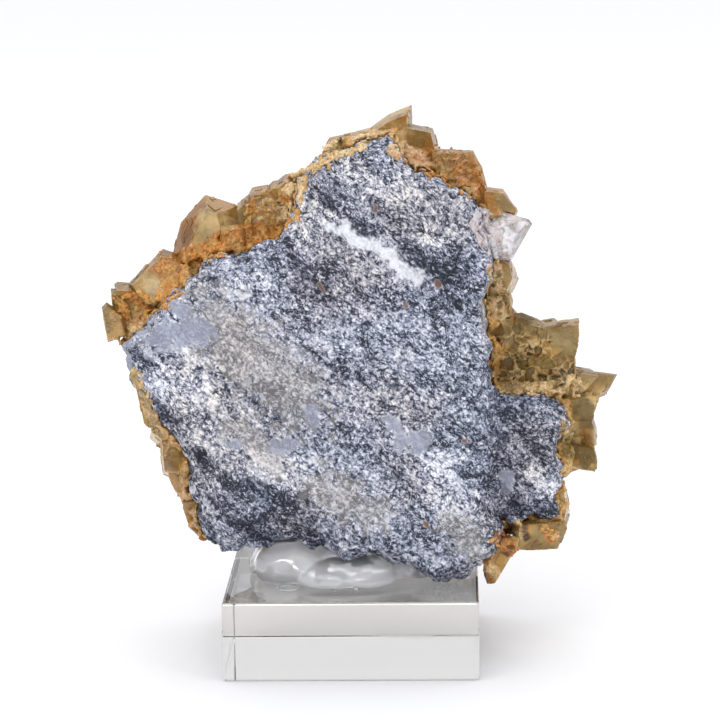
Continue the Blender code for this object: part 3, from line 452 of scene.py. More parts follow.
def ridges(points, size, octaves=4, place=0):
    """Noise from about 0 to 1 with sharp crests."""
    shift = shift_to(place)
    return np.array([
        noise.ridged_multi_fractal(Vector(p) / size + shift, 0.9, 2.1, octaves, 1, 2)
        for p in points.tolist()
    ]) / 2.5


def granules(points, size):
    """Rounded grains: high in the middle of each cell of about this size, low between them."""
    return np.array([1 - noise.voronoi(Vector(p) / size)[0][0] for p in points.tolist()])


def distance_to_path(flat, path):
    """Distance from points (x, z) to a line through the path's points."""
    nearest = np.full(len(flat), np.inf)
    for start, end in zip(path, path[1:]):
        way = end - start
        share = np.clip((flat - start) @ way / (way @ way), 0, 1)
        nearest = np.minimum(nearest, np.linalg.norm(flat - start - share[:, None] * way, axis=1))
    return nearest


def mark(flat, half, path, uneven):
    """1 on a mark and 0 away from it, with an uneven edge."""
    reach = distance_to_path(flat, np.reshape(path, (-1, 2))) / half + uneven
    return np.clip((MARK_FULL + MARK_FADE - reach) / MARK_FADE, 0, 1)


def mixed(colours, tone, strength):
    return colours + (np.array(tone) - colours) * strength[:, None]


def seen_flat(points):
    """Where the front view shows the points on the plane y = 0, as (x, z)."""
    eye = np.array(CAMERA_PLACE)
    share = -eye[1] / (points[:, 1] - eye[1])
    return (eye + (points - eye) * share[:, None])[:, [0, 2]]


# Many small shapes


def cluster(name, parts):
    """One mesh of many closed shapes, given as (corners, faces, tone)."""
    corners, faces, tones = [], [], []
    for shape_corners, shape_faces, tone in parts:
        first = len(corners)
        corners.extend(shape_corners)
        faces.extend([[first + corner for corner in face] for face in shape_faces])
        tones.extend([(*tone, 1)] * len(shape_corners))
    mesh = bpy.data.meshes.new(name)
    mesh.from_pydata([Vector(corner) * MM for corner in corners], [], faces)
    piece = object_of(name, mesh)
    store(piece, "tone", np.array(tones))
    return piece


def corners_and_faces(shape):
    """What a shape holds; the shape itself is freed."""
    shape.verts.index_update()
    corners = [v.co.copy() for v in shape.verts]
    faces = [[v.index for v in face.verts] for face in shape.faces]
    shape.free()
    return corners, faces


def broken_grain(rng):
    """Corners and faces of a small angular stone of radius 1."""
    shape = bmesh.new()
    for _ in range(GRAIN_CORNERS):
        way = Vector([rng.gauss(0, 1) for _ in range(3)]).normalized()
        shape.verts.new(way * rng.uniform(*GRAIN_CORNER_RADII))
    bmesh.ops.convex_hull(shape, input=shape.verts)
    bmesh.ops.delete(shape, geom=[v for v in shape.verts if not v.link_faces], context="VERTS")
    bmesh.ops.recalc_face_normals(shape, faces=shape.faces)
    return corners_and_faces(shape)


def block_shape(centre, along, across, up):
    """A closed block from its middle and its three half edges."""
    ends = (-1, 1)
    corners = [centre + along * a + across * b + up * c for c in ends for b in ends for a in ends]
    faces = [(0, 2, 3, 1), (4, 5, 7, 6), (0, 1, 5, 4), (2, 6, 7, 3), (0, 4, 6, 2), (1, 3, 7, 5)]
    return corners, faces


def any_turn(rng):
    angle = rng.uniform(0, math.tau)
    return Matrix.Rotation(angle, 3, Vector([rng.gauss(0, 1) for _ in range(3)]))


# The crystals


def crystal_tones(points, normals=None):
    """Colour of the siderite at each point.

    With normals, faces differ in painted shade by the way they point, and those that look up get darker
    painted shade.
    """
    levels = 0.5 + layered(points, TONE_WAVES)
    upper_shade = 0
    if normals is not None:
        # Painted shade that differs with the way each face points.
        levels += FACE_PAINTED_SHADE * waves(normals * FACE_TURN + points, FACE_SIZE, 17)
        # Painted shade on faces that look up: they lose red, green and blue.
        upper_shade = np.clip(normals[:, 2:], 0, 1) * UPPER_PAINTED_SHADE
    places = np.linspace(0, 1, len(BASE_TONES))
    table = np.array([TONES[name] for name in BASE_TONES])
    colours = np.stack([np.interp(levels, places, table[:, channel]) for channel in range(3)], 1)
    flat = seen_flat(points)
    uneven = layered(points, CRYSTAL_MARK_EDGE)
    for kind, half, *path in CRYSTAL_MARKS:
        here = mark(flat, half, path, uneven)
        colours = mixed(colours, TONES[kind], CRYSTAL_MARK_STRENGTH * here)
    return colours * (1 - upper_shade)


def cut_finely(shape, longest_at):
    """Divides the edges that are longer than allowed at their middle."""
    bmesh.ops.triangulate(shape, faces=shape.faces)
    for _ in range(CUT_ROUNDS):
        shape.edges.ensure_lookup_table()
        middles = np.array([(e.verts[0].co + e.verts[1].co) / 2 for e in shape.edges]) / MM
        lengths = np.array([e.calc_length() for e in shape.edges]) / MM
        long_edges = [shape.edges[i] for i in np.flatnonzero(lengths > longest_at(middles))]
        if not long_edges:
            break
        bmesh.ops.subdivide_edges(shape, edges=long_edges, cuts=1)
        bmesh.ops.triangulate(shape, faces=[f for f in shape.faces if len(f.verts) > 3])


def walled(points):
    """1 where thin walls stand on the crystals and 0 elsewhere."""
    flat = seen_flat(points)
    inside = np.zeros(len(points))
    uneven = layered(points, WALLED_EDGE)
    for half, *path in WALLED:
        inside = np.maximum(inside, mark(flat, half, path, uneven))
    return inside


def crystal_edge(points):
    back, front, fine = CRYSTAL_EDGES
    longest = np.where(points[:, 1] < CRYSTAL_FRONT_Y, front, back)
    return np.where(walled(points) > 0, fine, longest)


def walls(points):
    """How much each point is on a wall, from 0 to 1, and its cell's middle as the front view shows it."""
    bent = points * CELL_SQUEEZE + WALL_BEND * waves(points, WALL_BEND_SIZE, 29)[:, None]
    near = [noise.voronoi(Vector(p) / WALL_CELL, distance_metric="MANHATTAN") for p in bent.tolist()]
    gap = np.array([distances[1] - distances[0] for distances, _ in near]) * WALL_CELL
    middles = np.array([places[0] for _, places in near]) * WALL_CELL / CELL_SQUEEZE
    return np.clip(1 - gap / (2 * WALL_WIDTH), 0, 1) ** WALL_STEEPNESS, middles


def crystals_piece():
    piece = copy_of("siderite_crust", "siderite_crystals")
    shape = bmesh.new()
    shape.from_mesh(piece.data)
    cut_finely(shape, crystal_edge)
    shape.to_mesh(piece.data)
    shape.free()
    piece.data.validate()
    points, normals = points_of(piece), normals_of(piece)
    height = layered(points, CRYSTAL_WAVES)
    here = walled(points) * np.clip(2 * (WALL_FACING - normals[:, 1]), 0, 1)
    wall, cell = walls(points)
    away = [np.linalg.norm(seen_flat(cell) - place, axis=1) for place in DARK_CELLS]
    dark = np.min(away, axis=0) < DARK_CELL_REACH * WALL_CELL
    pocket = here * (1 - wall)
    height += here * WALL_HEIGHT * (wall - 0.5) - DARK_CELL_SUNK * dark * pocket
    set_points(piece, points + normals * height[:, None])
    tones = crystal_tones(points, normals)
    lot = np.array([noise.cell(Vector(c) * CELL_LOT + CELL_LOT_SHIFT) for c in cell.tolist()])
    tones *= (1 - pocket * CELL_VARIETY * (0.5 - lot))[:, None]
    tones *= (1 + WALLED_LIGHTER * here)[:, None]
    # Painted shade in the sunk middles of the dark cells.
    tones = mixed(tones, TONES["olive_dark"], DARK_CELL_PAINTED_SHADE * dark * pocket)
    tones = mixed(tones, TONES["cream"], WALL_STRENGTH * here * wall)
    store(piece, "tone", np.column_stack([tones, np.ones(len(points))]))
    piece.data.shade_flat()
    return finished(piece, siderite_material(), "siderite", "siderite_crust")


def face_samples(face, rng):
    """Places on a flat face, each with its distance from the rim."""
    corners = [v.co / MM for v in face.verts]
    middle, up = sum(corners, Vector()) / len(corners), face.normal
    edges = [second - first for first, second in zip(corners, corners[1:] + corners[:1])]
    along = max(edges, key=lambda edge: edge.length).normalized()
    across = up.cross(along)
    flat = np.array([((c - middle).dot(along), (c - middle).dot(across)) for c in corners])
    low, high = flat.min(0), flat.max(0)
    for _ in range(int((high - low).prod() / STEP_AREA + rng.random())):
        spot = np.array([rng.uniform(low[0], high[0]), rng.uniform(low[1], high[1])])
        ahead = np.roll(flat, -1, axis=0)
        crosses = (flat[:, 1] > spot[1]) != (ahead[:, 1] > spot[1])
        rise = np.where(ahead[:, 1] == flat[:, 1], 1, ahead[:, 1] - flat[:, 1])
        at = flat[:, 0] + (spot[1] - flat[:, 1]) * (ahead[:, 0] - flat[:, 0]) / rise
        if np.count_nonzero(crosses & (at > spot[0])) % 2:
            rim = distance_to_path(spot[None], np.vstack([flat, flat[:1]]))[0]
            yield middle + along * spot[0] + across * spot[1], rim, along, across, up


def growth_steps_piece():
    rng = random.Random(5)
    shape = shape_of("siderite_crust")
    bmesh.ops.dissolve_limit(shape, angle_limit=FLAT_ANGLE, verts=shape.verts, edges=shape.edges)
    shape.normal_update()
    plates = []
    for face in shape.faces:
        for place, rim, along, across, up in face_samples(face, rng):
            size = min(rng.uniform(*STEP_SIZE), STEP_RIM_SLOPE * rim + STEP_RIM_START) / 2
            if size < STEP_SIZE[0] / 2:
                continue
            height = rng.uniform(*STEP_HEIGHT) * min(1, size)
            lean = Matrix.Rotation(rng.uniform(-STEP_TILT, STEP_TILT), 3, along)
            lean = lean @ Matrix.Rotation(rng.uniform(-STEP_TILT, STEP_TILT), 3, across)
            side = Matrix.Rotation(RHOMB_ANGLE, 3, up) @ along
            half = (height + STEP_SUNK) / 2
            width = rng.uniform(*STEP_STRETCH)
            plates.append((place + up * (height - half), lean @ along * size,
                           lean @ side * size * width, lean @ up * half))
    shape.free()
    middles = np.array([plate[0] for plate in plates])
    parts = []
    ups = np.array([plate[3].normalized() for plate in plates])
    # The plates take the crystals' tones, with the painted shade by facing.
    for plate, tone, busy in zip(plates, crystal_tones(middles, ups), walled(middles)):
        if busy:
            continue
        corners, faces = block_shape(*plate)
        parts.append((corners, faces, tone * rng.uniform(*STEP_LIGHTNESS)))
    piece = cluster("growth_steps", parts)
    return finished(piece, siderite_material(), "siderite")


def tree_over(places):
    tree = KDTree(len(places))
    for number, place in enumerate(places):
        tree.insert(place, number)
    tree.balance()
    return tree


def tree_of(piece):
    mesh = piece.data
    return BVHTree.FromPolygons([v.co for v in mesh.vertices], [tuple(f.vertices) for f in mesh.polygons])


def sightings(rock, crystals, rng):
    """What the front view meets along a net of lines of sight: (spot, is it rock, place) of each hit."""
    eye = Vector(CAMERA_PLACE) * MM
    trees = [tree_of(rock)] + [tree_of(piece) for piece in crystals]
    (low_x, _, low_z), (high_x, _, high_z) = CAD_BOX
    found = []
    for x in np.arange(low_x / MM, high_x / MM, SIGHT_SPACING):
        for z in np.arange(low_z / MM, high_z / MM + SIGHT_MARGIN, SIGHT_SPACING):
            spot = tuple(v + rng.uniform(-0.5, 0.5) * SIGHT_SPACING for v in (x, z))
            way = (Vector((spot[0], 0, spot[1])) * MM - eye).normalized()
            hits = [tree.ray_cast(eye, way) for tree in trees]
            lengths = [hit[3] if hit[0] else math.inf for hit in hits]
            if min(lengths) < math.inf:
                first = lengths.index(min(lengths))
                found.append((spot, first == 0, hits[first][0] / MM))
    return found


def nearest_of(found, wanted):
    """A tree over the spots that are rock, or over those that aren't, and their places."""
    chosen = [sight for sight in found if sight[1] == wanted]
    return tree_over([(spot[0], 0, spot[1]) for spot, _, _ in chosen]), chosen


def grown_together(name, parts, finish, slot):
    """Many grains made into one rough skin that keeps the tones they had."""
    piece = cluster(name, parts)
    tones = rows_of(piece.data.attributes["tone"].data, "color", 4)
    tree = tree_over(points_of(piece).tolist())
    remesh(piece, GRAIN_VOXEL)
    soften(piece, GRAIN_SMOOTHING, 1)
    points, normals = points_of(piece), normals_of(piece)
    height = GRAIN_ROUGHNESS * (ridges(points, GRAIN_LUMP, 2, 31) - GRAIN_LEVEL)
    set_points(piece, points + normals * height[:, None])
    near = [[found[1] for found in tree.find_n(point, TONE_NEIGHBOURS)] for point in points.tolist()]
    store(piece, "tone", tones[np.array(near)].mean(1))
    piece.data.shade_smooth()
    return finished(piece, finish, slot)


def seam_grains_pieces(rock, crystals):
    """Small grains where the crystals meet the rock, and in patches on the crystals."""
    rng = random.Random(9)
    found = sightings(rock, crystals, rng)
    rock_tree, rock_sights = nearest_of(found, True)
    crystal_tree, _ = nearest_of(found, False)
    flat = np.array([spot for spot, _, _ in found])
    places = np.array([place for _, _, place in found])
    uneven = layered(places, GRAIN_PATCH_EDGE)
    patches = [
        (mark(flat, half, path, uneven), tones.split())
        for tones, half, *path in GRAIN_PATCHES
    ]
    own_tones = crystal_tones(places)
    eye = Vector(CAMERA_PLACE)
    shapes = [broken_grain(rng) for _ in range(GRAIN_SHAPES)]
    siderite_parts, quartz_parts = [], []

    def add(place, size, tone):
        corners, faces = rng.choice(shapes)
        narrower = [size * rng.uniform(*GRAIN_FLATNESS) for _ in range(2)]
        turn = any_turn(rng) @ Matrix.Diagonal((size, *narrower))
        moved = [place + turn @ corner for corner in corners]
        parts.append((moved, faces, np.array(tone) * rng.uniform(*GRAIN_LIGHTNESS)))

    for number, (spot, is_rock, place) in enumerate(found):
        patch, names = 0, SEAM_TONES
        for strength, tones in patches:
            if strength[number] > patch:
                patch, names = strength[number], tones
        lot = noise.cell(noise.voronoi(place / TONE_CLUSTER)[1][0] * CLUSTER_LOT)
        name = names[int(lot * len(names)) % len(names)]
        share = min(1, PATCH_TONE_GAIN * patch) if patch else SEAM_TONE_SHARE
        parts = siderite_parts
        if name in QUARTZ_TONES:
            parts, share = quartz_parts, 1
        tone = own_tones[number] + (TONES[name] - own_tones[number]) * share
        tree = crystal_tree if is_rock else rock_tree
        _, nearest, away = tree.find((spot[0], 0, spot[1]))
        swell = 1 + SEAM_UNEVEN * noise.noise(place / SEAM_UNEVEN_SIZE)
        sight = (place - eye).normalized()
        size = rng.uniform(*GRAIN_SIZES)
        if is_rock:
            if away < SEAM_ON_ROCK * swell and rng.random() < ROCK_GRAIN_SHARE:
                add(place, size * ROCK_GRAIN_GAIN, tone)
            elif patch > 0.5 and away < PATCH_ON_ROCK * swell:
                add(place, size * PATCH_ON_ROCK_GAIN, tone)
            continue
        reach = SEAM_ON_CRYSTALS * max(swell, SEAM_NARROWEST)
        if away < reach:
            rim = rock_sights[nearest][2]
            rise = max(0, place.y - rim.y - STEP_FREE) * (1 - away / reach) ** STEP_EASE
            depth = rise
            while depth > 0:
                if depth < rise < FILLER_REACH and rng.random() < FILLER_SHARE:
                    add(place - sight * depth, rng.uniform(*FILLER_SIZES), tone)
                depth -= FILLER_SPACING
            add(place - sight * rise, size, tone)
            if rng.random() < SECOND_GRAIN_SHARE:
                back = rise - SECOND_GRAIN_BACK
                add(place - sight * back, size * SECOND_GRAIN_GAIN, tone)
        elif rng.random() < patch * PATCH_GRAIN_SHARE:
            add(place, size * rng.uniform(*PATCH_GRAIN_GAINS), tone)
    parts = siderite_parts
    corners, normals = points_of(rock), normals_of(rock)
    chosen = np.flatnonzero(np.abs(normals[:, 1]) < FLANK_FACING)
    chosen = chosen[[rng.random() < FLANK_SHARE for _ in chosen]]
    crystal_surface = tree_of(crystals[0])
    for corner, own in zip(corners[chosen].tolist(), crystal_tones(corners[chosen])):
        away = crystal_surface.find_nearest(Vector(corner) * MM, FLANK_REACH * MM)[3]
        if away is not None and rng.random() > FLANK_THINNING * away / (FLANK_REACH * MM):
            add(Vector(corner), FLANK_GRAIN_GAIN * rng.uniform(*GRAIN_SIZES), own)
    grown_together("contact_grains", siderite_parts, grain_material(), "siderite")
    grown_together("quartz_grains", quartz_parts, quartz_grain_material(), "clear_quartz")


# The clear crystal


def clear_crystal_piece():
    piece = copy_of("clear_crystal", "quartz_crystal")
    modified(piece, "BEVEL", width=WORN_EDGE * MM, segments=2)
    return finished(piece, clear_quartz_material(), "clear_quartz", "clear_crystal")


# The glue


def ball(centre, radii, segments=24):
    shape = bmesh.new()
    bmesh.ops.create_uvsphere(shape, u_segments=segments, v_segments=segments // 2, radius=1)
    corners, faces = corners_and_faces(shape)
    stretch = Matrix.Diagonal(radii)
    return [Vector(centre) + stretch @ corner for corner in corners], faces


def ring(centre, radius, thickness, segments=40, sides=10):
    corners, faces = [], []
    for i in range(segments):
        turn = math.tau * i / segments
        for j in range(sides):
            tilt = math.tau * j / sides
            out = radius + thickness * math.cos(tilt)
            way = Vector((out * math.cos(turn), out * math.sin(turn), thickness * math.sin(tilt)))
            corners.append(Vector(centre) + way)
            ahead, over = (i + 1) % segments, (j + 1) % sides
            faces.append((i * sides + j, ahead * sides + j, ahead * sides + over, i * sides + over))
    return corners, faces


def glue_piece():
    piece = copy_of("mounting_glue", "glue_bead")
    remesh(piece, GLUE_VOXEL)
    soften(piece, GLUE_SMOOTHING, GLUE_PASSES)
    points, normals = points_of(piece), normals_of(piece)
    height = GLUE_SWELL + layered(points, GLUE_WAVES)
    set_points(piece, points + normals * height[:, None])
    piece.data.shade_smooth()
    return finished(piece, glue_material(), "hot_melt_glue", "mounting_glue")


def glue_drops_piece():
    shapes = [
        ball((x, y, BLOCK_TOP + DROP_LIFT * height), (radius, radius, height))
        for x, y, radius, height in DROPS
    ]
    x, y, radius, thickness = RING
    shapes.append(ring((x, y, BLOCK_TOP + RING_LIFT * thickness), radius, thickness))
    piece = cluster("glue_drops", [(*shape, WHITE) for shape in shapes])
    piece.data.shade_smooth()
    return finished(piece, glue_material(), "hot_melt_glue")


def bubbles_piece():
    parts = [(*ball((x, y, z), (radius, radius, radius), 16), WHITE) for x, y, z, radius in BUBBLES]
    piece = cluster("glue_bubbles", parts)
    piece.data.shade_smooth()
    return finished(piece, bubble_material(), "hot_melt_glue")


# The rock


def rock_marks(points):
    """Shade from -1, dark, to 1, pale; colour and its strength; and how smooth the stone is there."""
    flat = points[:, [0, 2]]
    facing = np.clip((ROCK_BACK_Y - points[:, 1]) / MARKS_FADE, 0, 1)
    uneven = layered(points, ROCK_MARK_EDGE)
    shade = np.zeros(len(points))
    colour = np.tile(WHITE, (len(points), 1))
    strength = np.zeros(len(points))
    calm = np.zeros(len(points))
    for kind, marks in ROCK_MARKS.items():
        for half, *path in marks:
            here = mark(flat, half, path, uneven) * facing
            if kind in ROCK_SHADES:
                shade += (ROCK_SHADES[kind] - shade) * here
                continue
            tone, most = ROCK_TINTS[kind]
            colour = mixed(colour, tone, here)
            strength += (most - strength) * here
            if kind in SMOOTH_KINDS:
                calm = np.maximum(calm, here)
    return shade, colour, strength, calm


def rock_piece():
    piece = copy_of("matrix_rock", "rock_surface")
    remesh(piece, ROCK_VOXEL)
    soften(piece, ROCK_SMOOTHING, ROCK_SMOOTHING_PASSES)
    thin_out(piece, points_of(piece)[:, 1] > ROCK_BACK_Y, ROCK_BACK_SHARE)
    points, normals = points_of(piece), normals_of(piece)
    shade, colour, strength, calm = rock_marks(points)
    grain = along_grain(points)
    height = np.full(len(points), ROCK_SWELL)
    for place, (lump, size, stretch) in enumerate(ROCK_LUMPS):
        height += lump * (ridges(grain / [stretch, 1, 1], size, place=place) - 0.5)
    height += GRANULE_HEIGHT * (granules(points, GRANULE_SIZE) - 0.5)
    height = height * (1 - CALM_LOSS * calm) + CALM_RAISED * calm + DARK_SUNK * np.minimum(shade, 0)
    height *= np.clip((ROCK_BACK_Y + RELIEF_FADE - points[:, 1]) / RELIEF_FADE, 0, 1)
    strays = [waves(points, RIM_BEND, place) for place in (21, 23)]
    sideways = np.stack([strays[0], np.zeros(len(points)), strays[1]], 1)
    sideness = np.linalg.norm(normals[:, [0, 2]], axis=1)
    rim = np.clip((sideness - RIM_FROM) / (RIM_FULL - RIM_FROM), 0, 1)
    set_points(piece, points + normals * height[:, None] + sideways * (ROCK_RIM_STRAY * rim)[:, None])
    store(piece, "shade", shade)
    store(piece, "tone", np.column_stack([colour, strength]))
    piece.data.shade_smooth()
    return finished(piece, rock_material(), "quartz_rock", "matrix_rock")


def finished(piece, finish, slot, *nodes):
    """Gives a piece its finish, fixes it to the model, and hides the CAD nodes it stands for."""
    piece.data.materials.append(finish.material)
    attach(piece, "root")
    if nodes:
        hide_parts(*nodes)
    return piece


# Materials


class Finish:
    """A material being made: a Principled shader and the nodes that feed it."""

    def __init__(self, name, **sockets):
        self.material = bpy.data.materials.new(name)
        self.material.use_nodes = True
        self.tree = self.material.node_tree
        self.shader = self.tree.nodes["Principled BSDF"]
        self.place = self.add("TexCoord", output="Object")
        self.set(**sockets)

    def feed(self, socket, value):
        if isinstance(value, bpy.types.NodeSocket):
            self.tree.links.new(value, socket)
        elif hasattr(socket.default_value, "__len__") and len(value) < len(socket.default_value):
            socket.default_value = (*value, 1)
        else:
            socket.default_value = value

    def set(self, **sockets):
        for name, value in sockets.items():
            self.feed(self.shader.inputs[name.replace("_", " ")], value)

    def node(self, kind, inputs=(), **settings):
        node = self.tree.nodes.new("ShaderNode" + kind)
        for name, value in settings.items():
            setattr(node, name, value)
        for name, value in dict(inputs).items():
            self.feed(node.inputs[name], value)
        return node

    def add(self, kind, inputs=(), output=0, **settings):
        return self.node(kind, inputs, **settings).outputs[output]

    def maths(self, operation, first, second=0):
        return self.add("Math", {0: first, 1: second}, operation=operation)

    def total(self, first, *others):
        for other in others:
            first = self.maths("ADD", first, other)
        return first

    def from_middle(self, value):
        """How far a noise is from its middle, so that 0 is a thin line through it."""
        return self.maths("ABSOLUTE", self.maths("SUBTRACT", value, 0.5))

    def tinted(self, colour, tint):
        return self.mix(1, colour, tint, "MULTIPLY")

    def scaled(self, place, scale):
        return self.add("VectorMath", {0: place, 1: scale}, operation="MULTIPLY")

    def noise(self, size, detail=3, rough=0.6, distort=0, place=None):
        """Noise with lumps of about this size in millimetres."""
        return self.add("TexNoise", {
            "Vector": place or self.place, "Scale": 0.5 / (size * MM), "Detail": detail,
            "Roughness": rough, "Distortion": distort,
        })

    def cells(self, size, output="Distance"):
        return self.add("TexVoronoi", {"Vector": self.place, "Scale": 1 / (size * MM)}, output)

    def between(self, value, low, high, to_low=0, to_high=1):
        """Maps low to high onto to_low to to_high, and stays within them."""
        return self.add("MapRange", {
            "Value": value, "From Min": low, "From Max": high, "To Min": to_low, "To Max": to_high,
        })

    def mix(self, share, first, second, blend="MIX"):
        node = self.node("Mix", data_type="RGBA", blend_type=blend)
        colours = [socket for socket in node.inputs if socket.type == "RGBA"]
        self.feed(node.inputs[0], share)
        self.feed(colours[0], first)
        self.feed(colours[1], second)
        return next(socket for socket in node.outputs if socket.type == "RGBA")

    def ramp(self, value, stops):
        node = self.node("ValToRGB", {"Fac": value})
        elements = node.color_ramp.elements
        while len(elements) < len(stops):
            elements.new(0.5)
        for element, (position, colour) in zip(elements, stops):
            element.position = position
            element.color = (*colour, 1)
        return node.outputs[0]

    def bump(self, height, depth, strength, normal=None):
        """Fine relief of this depth in millimetres."""
        inputs = {"Height": height, "Distance": depth * MM, "Strength": strength}
        if normal is not None:
            inputs["Normal"] = normal
        return self.add("Bump", inputs)

    def attribute(self, name, output):
        return self.add("Attribute", output=output, attribute_name=name)


def rock_material():
    """White and grey grains with thin dark films between them, drawn out along the foliation."""
    made = Finish("granular quartz rock", Roughness=0.6, IOR=1.5)
    turned = made.add("VectorRotate", {"Vector": made.place, "Axis": (0, 1, 0), "Angle": -GRAIN_ANGLE})
    grain = made.scaled(turned, (0.7, 0.9, 1))
    speckle = made.add("SeparateColor", {"Color": made.cells(0.45, "Color")})
    fine = made.noise(0.33, 2, 0.65, 0.6, grain)
    worms = made.noise(0.85, 2, 0.6, 1.1, grain)
    films = made.between(made.from_middle(worms), 0.004, 0.055, 1, 0)
    wide = made.from_middle(made.noise(2.2, 3, 0.65, 1, grain))
    films = made.maths("MAXIMUM", films, made.between(wide, 0, 0.026, 1, 0))
    bands = made.noise(1.7, 4, 0.62, 0.6, made.scaled(grain, (0.5, 0.8, 1)))
    patches = made.noise(8, 2, 0.5)
    # Darker and paler marks: partly the rock's own tone, partly painted shade in its hollows and along
    # its steps.
    shade = made.attribute("shade", "Fac")
    parts = [(fine, 0.86), (speckle, 0.18), (bands, 0.33), (shade, 0.12)]
    level = made.total(*[made.maths("MULTIPLY", part, share) for part, share in parts])
    open_films = made.between(bands, 0.38, 0.60, 0.34, 0.12)
    level = made.maths("SUBTRACT", level, made.maths("MULTIPLY", films, open_films))
    grey = made.ramp(made.between(level, 0.395, 0.925), [
        (0, (0.007, 0.010, 0.020)), (0.20, (0.050, 0.062, 0.105)), (0.42, (0.22, 0.24, 0.32)),
        (0.64, (0.50, 0.52, 0.62)), (1, (0.97, 0.98, 1)),
    ])
    warm = made.between(patches, 0.45, 0.65)
    grey = made.mix(warm, grey, made.tinted(grey, (1.05, 0.98, 0.88)))
    tone = made.attribute("tone", "Color")
    strength = made.attribute("tone", "Alpha")
    mottled = made.mix(made.between(level, 0.4, 0.7, 0.28, 0), tone, (0.12, 0.13, 0.17))
    made.set(
        Base_Color=made.mix(strength, grey, mottled),
        Normal=made.bump(level, 0.25, 0.8),
    )
    return made


@functools.cache
def siderite_material():
    """Clear to cloudy honey-brown, with fine growth lines."""
    made = Finish(
        "siderite crystal", IOR=SIDERITE_INDEX, Specular_IOR_Level=0.30, Transmission_Weight=0.38,
        Subsurface_Weight=0.3, Subsurface_Radius=(1, 0.5, 0.15), Subsurface_Scale=1.4 * MM,
    )
    tone = made.attribute("tone", "Color")
    clouds = made.noise(2.4, 4, 0.6, 0.6)
    specks = made.noise(0.32, 2, 0.6)
    veins = made.from_middle(made.noise(3.4, 4, 0.65, 0.5))
    dark, pale = made.tinted(tone, (0.86, 0.72, 0.42)), made.tinted(tone, (1.26, 1.2, 1))
    colour = made.mix(made.between(clouds, 0.35, 0.65), dark, pale)
    colour = made.mix(made.between(veins, 0, 0.014, 0.3, 0), colour, TONES["rust"])
    colour = made.mix(made.between(specks, 0.58, 0.70, 0, 0.35), colour, (0.66, 0.50, 0.28))
    lines = made.noise(0.6, 2, place=made.scaled(made.place, (1, 1, 0.25)))
    colour = made.mix(made.between(lines, 0.38, 0.60, 0.12, 0), colour, (0.18, 0.12, 0.05))
    relief = made.maths("ADD", lines, specks)
    made.set(
        Base_Color=colour,
        Roughness=made.between(clouds, 0.3, 0.7, 0.14, 0.38),
        Normal=made.bump(relief, 0.13, 0.8),
    )
    return made


def grain_material():
    """Sugary grains of siderite, cloudier than the crystals."""
    made = Finish(
        "granular siderite", IOR=1.6, Specular_IOR_Level=0.35, Roughness=0.3, Transmission_Weight=0.12,
        Subsurface_Weight=0.35, Subsurface_Radius=(1, 0.45, 0.15), Subsurface_Scale=0.6 * MM,
    )
    tone = made.attribute("tone", "Color")
    specks = made.noise(0.3, 3, 0.65, 0.6)
    facets = made.cells(0.5)
    dark, pale = made.tinted(tone, (0.55, 0.42, 0.25)), made.tinted(tone, (1.3, 1.2, 1))
    made.set(
        Base_Color=made.mix(made.between(specks, 0.36, 0.62), dark, pale),
        Normal=made.bump(facets, 0.22, 0.8, made.bump(specks, 0.12, 0.8)),
    )
    return made


def quartz_grain_material():
    """Milky sugary quartz."""
    made = Finish(
        "granular quartz", IOR=QUARTZ_INDEX, Roughness=0.22, Transmission_Weight=0.25,
        Subsurface_Weight=0.5, Subsurface_Radius=(1, 0.9, 0.9), Subsurface_Scale=0.6 * MM,
    )
    tone = made.attribute("tone", "Color")
    specks = made.noise(0.35, 3, 0.65, 0.8)
    facets = made.cells(0.6)
    dark = made.tinted(tone, (0.62, 0.54, 0.56))
    made.set(
        Base_Color=made.mix(made.between(specks, 0.36, 0.55), dark, tone),
        Normal=made.bump(facets, 0.25, 0.8, made.bump(specks, 0.15, 0.8)),
    )
    return made


def clear_quartz_material():
    """Milky towards the rock, and clear at the free end."""
    made = Finish(
        "clear quartz", Roughness=0.04, IOR=QUARTZ_INDEX,
        Subsurface_Weight=0.4, Subsurface_Scale=0.8 * MM,
    )
    along = made.add("SeparateXYZ", {"Vector": made.place}, "X")
    fractures = made.noise(1.1, 3, 0.6, 1.2)
    fading = made.between(along, MILK_END * MM, CLEAR_START * MM, 1, 0.25)
    milk = made.maths("MULTIPLY", fading, made.between(fractures, 0.4, 0.6, 0.4, 1))
    made.set(
        Base_Color=made.mix(made.between(fractures, 0.42, 0.5), (0.80, 0.74, 0.75), (0.97, 0.95, 0.96)),
        Transmission_Weight=made.between(milk, 0.08, 0.6, 0.9, 0.15),
        Normal=made.bump(fractures, 0.25, 0.5),
    )
    return made


@functools.cache
def glue_material():
    return Finish(
        "hot-melt glue", Base_Color=(0.96, 0.96, 0.99), Roughness=0.05, IOR=GLUE_INDEX,
        Transmission_Weight=0.58, Subsurface_Weight=0.9, Subsurface_Radius=(1, 1, 1),
        Subsurface_Scale=3 * MM, Coat_Weight=1, Coat_Roughness=0.02,
    )


def bubble_material():
    """Air inside the glue, so its index is that of air over that of glue."""
    return Finish(
        "air bubbles", Base_Color=(1, 1, 1), Roughness=0, IOR=1 / GLUE_INDEX,
        Transmission_Weight=1,
    )


def acrylic_material():
    made = Finish(
        "clear acrylic", Base_Color=(0.99, 0.99, 0.985), IOR=ACRYLIC_INDEX, Transmission_Weight=1,
    )
    smears = made.noise(5, 3, 0.6, 0.5, made.scaled(made.place, (0.35, 1, 1)))
    made.set(Roughness=made.between(smears, 0.50, 0.68, 0, 0.16))
    absorption = made.add("VolumeAbsorption", {"Color": (0.52, 0.49, 0.40), "Density": 8.5})
    made.tree.links.new(absorption, made.tree.nodes["Material Output"].inputs["Volume"])
    return made


# Camera, light and floor


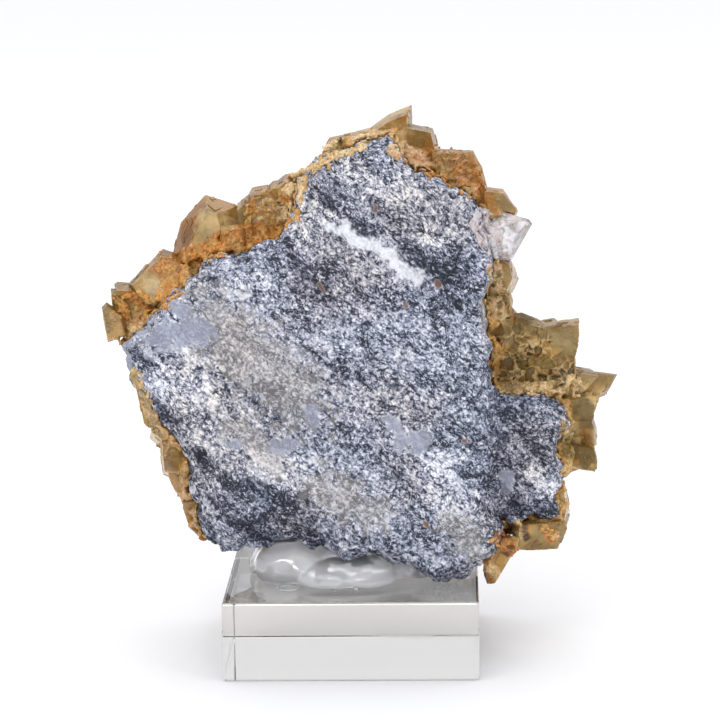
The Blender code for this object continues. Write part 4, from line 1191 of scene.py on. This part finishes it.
def camera():
    turns = [(-CAMERA_YAW, "Z"), (math.pi / 2 - CAMERA_PITCH, "X"), (CAMERA_ROLL, "Z")]
    place = Matrix.Translation(Vector(CAMERA_PLACE) * MM)
    for angle, axis in turns:
        place = place @ Matrix.Rotation(angle, 4, axis)
    data = bpy.data.cameras.new("camera")
    data.sensor_width, data.lens = CAMERA_SENSOR, CAMERA_LENS
    made = object_of("camera", data)
    made.matrix_world = place
    bpy.context.scene.camera = made


def softbox(name, place, target, width, height, radiance):
    """A lamp of these metres, as bright as this times a white wall in the room's light."""
    data = bpy.data.lights.new(name, "AREA")
    data.shape = "RECTANGLE"
    data.size, data.size_y = width, height
    data.energy = radiance * math.pi * width * height
    made = object_of(name, data)
    made.location = place
    made.rotation_euler = (Vector(target) - Vector(place)).to_track_quat("-Z", "Y").to_euler()


def white_room():
    """Soft light from every side, stronger from above."""
    world = bpy.data.worlds.new("white room")
    world.use_nodes = True
    nodes, links = world.node_tree.nodes, world.node_tree.links
    place, level = nodes.new("ShaderNodeTexCoord"), nodes.new("ShaderNodeVectorMath")
    level.operation = "DOT_PRODUCT"
    level.inputs[1].default_value = (0, WORLD_BEHIND, WORLD_OVERHEAD)
    total, background = nodes.new("ShaderNodeMath"), nodes["Background"]
    total.inputs[1].default_value = WORLD_SIDES
    background.inputs["Color"].default_value = (*ROOM_COLOUR, 1)
    links.new(place.outputs["Generated"], level.inputs[0])
    links.new(level.outputs["Value"], total.inputs[0])
    links.new(total.outputs[0], background.inputs["Strength"])
    bpy.context.scene.world = world
    bpy.context.scene.view_settings.view_transform = "Standard"


def floor():
    ends = (-FLOOR_HALF, FLOOR_HALF)
    corners = [(x, y, -FLOOR_GAP * MM) for y in ends for x in ends]
    mesh = bpy.data.meshes.new("floor")
    mesh.from_pydata(corners, [], [(0, 1, 3, 2)])
    mesh.materials.append(Finish("pale floor", Base_Color=FLOOR_COLOUR, Roughness=0.7).material)
    object_of("floor", mesh)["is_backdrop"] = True


camera()
white_room()
for lamp in LAMPS:
    softbox(*lamp)
floor()
rock = rock_piece()
crystals = crystals_piece()
growth_steps_piece()
clear_crystal = clear_crystal_piece()
seam_grains_pieces(rock, [crystals, clear_crystal])
glue_piece()
glue_drops_piece()
bubbles_piece()
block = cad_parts["acrylic_block"]
block.data.materials.clear()
block.data.materials.append(acrylic_material().material)

SEEN_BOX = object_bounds()
boxes = {"cad": CAD_BOX, "visual": SEEN_BOX}
{name: [list(corner) for corner in box] for name, box in boxes.items()}
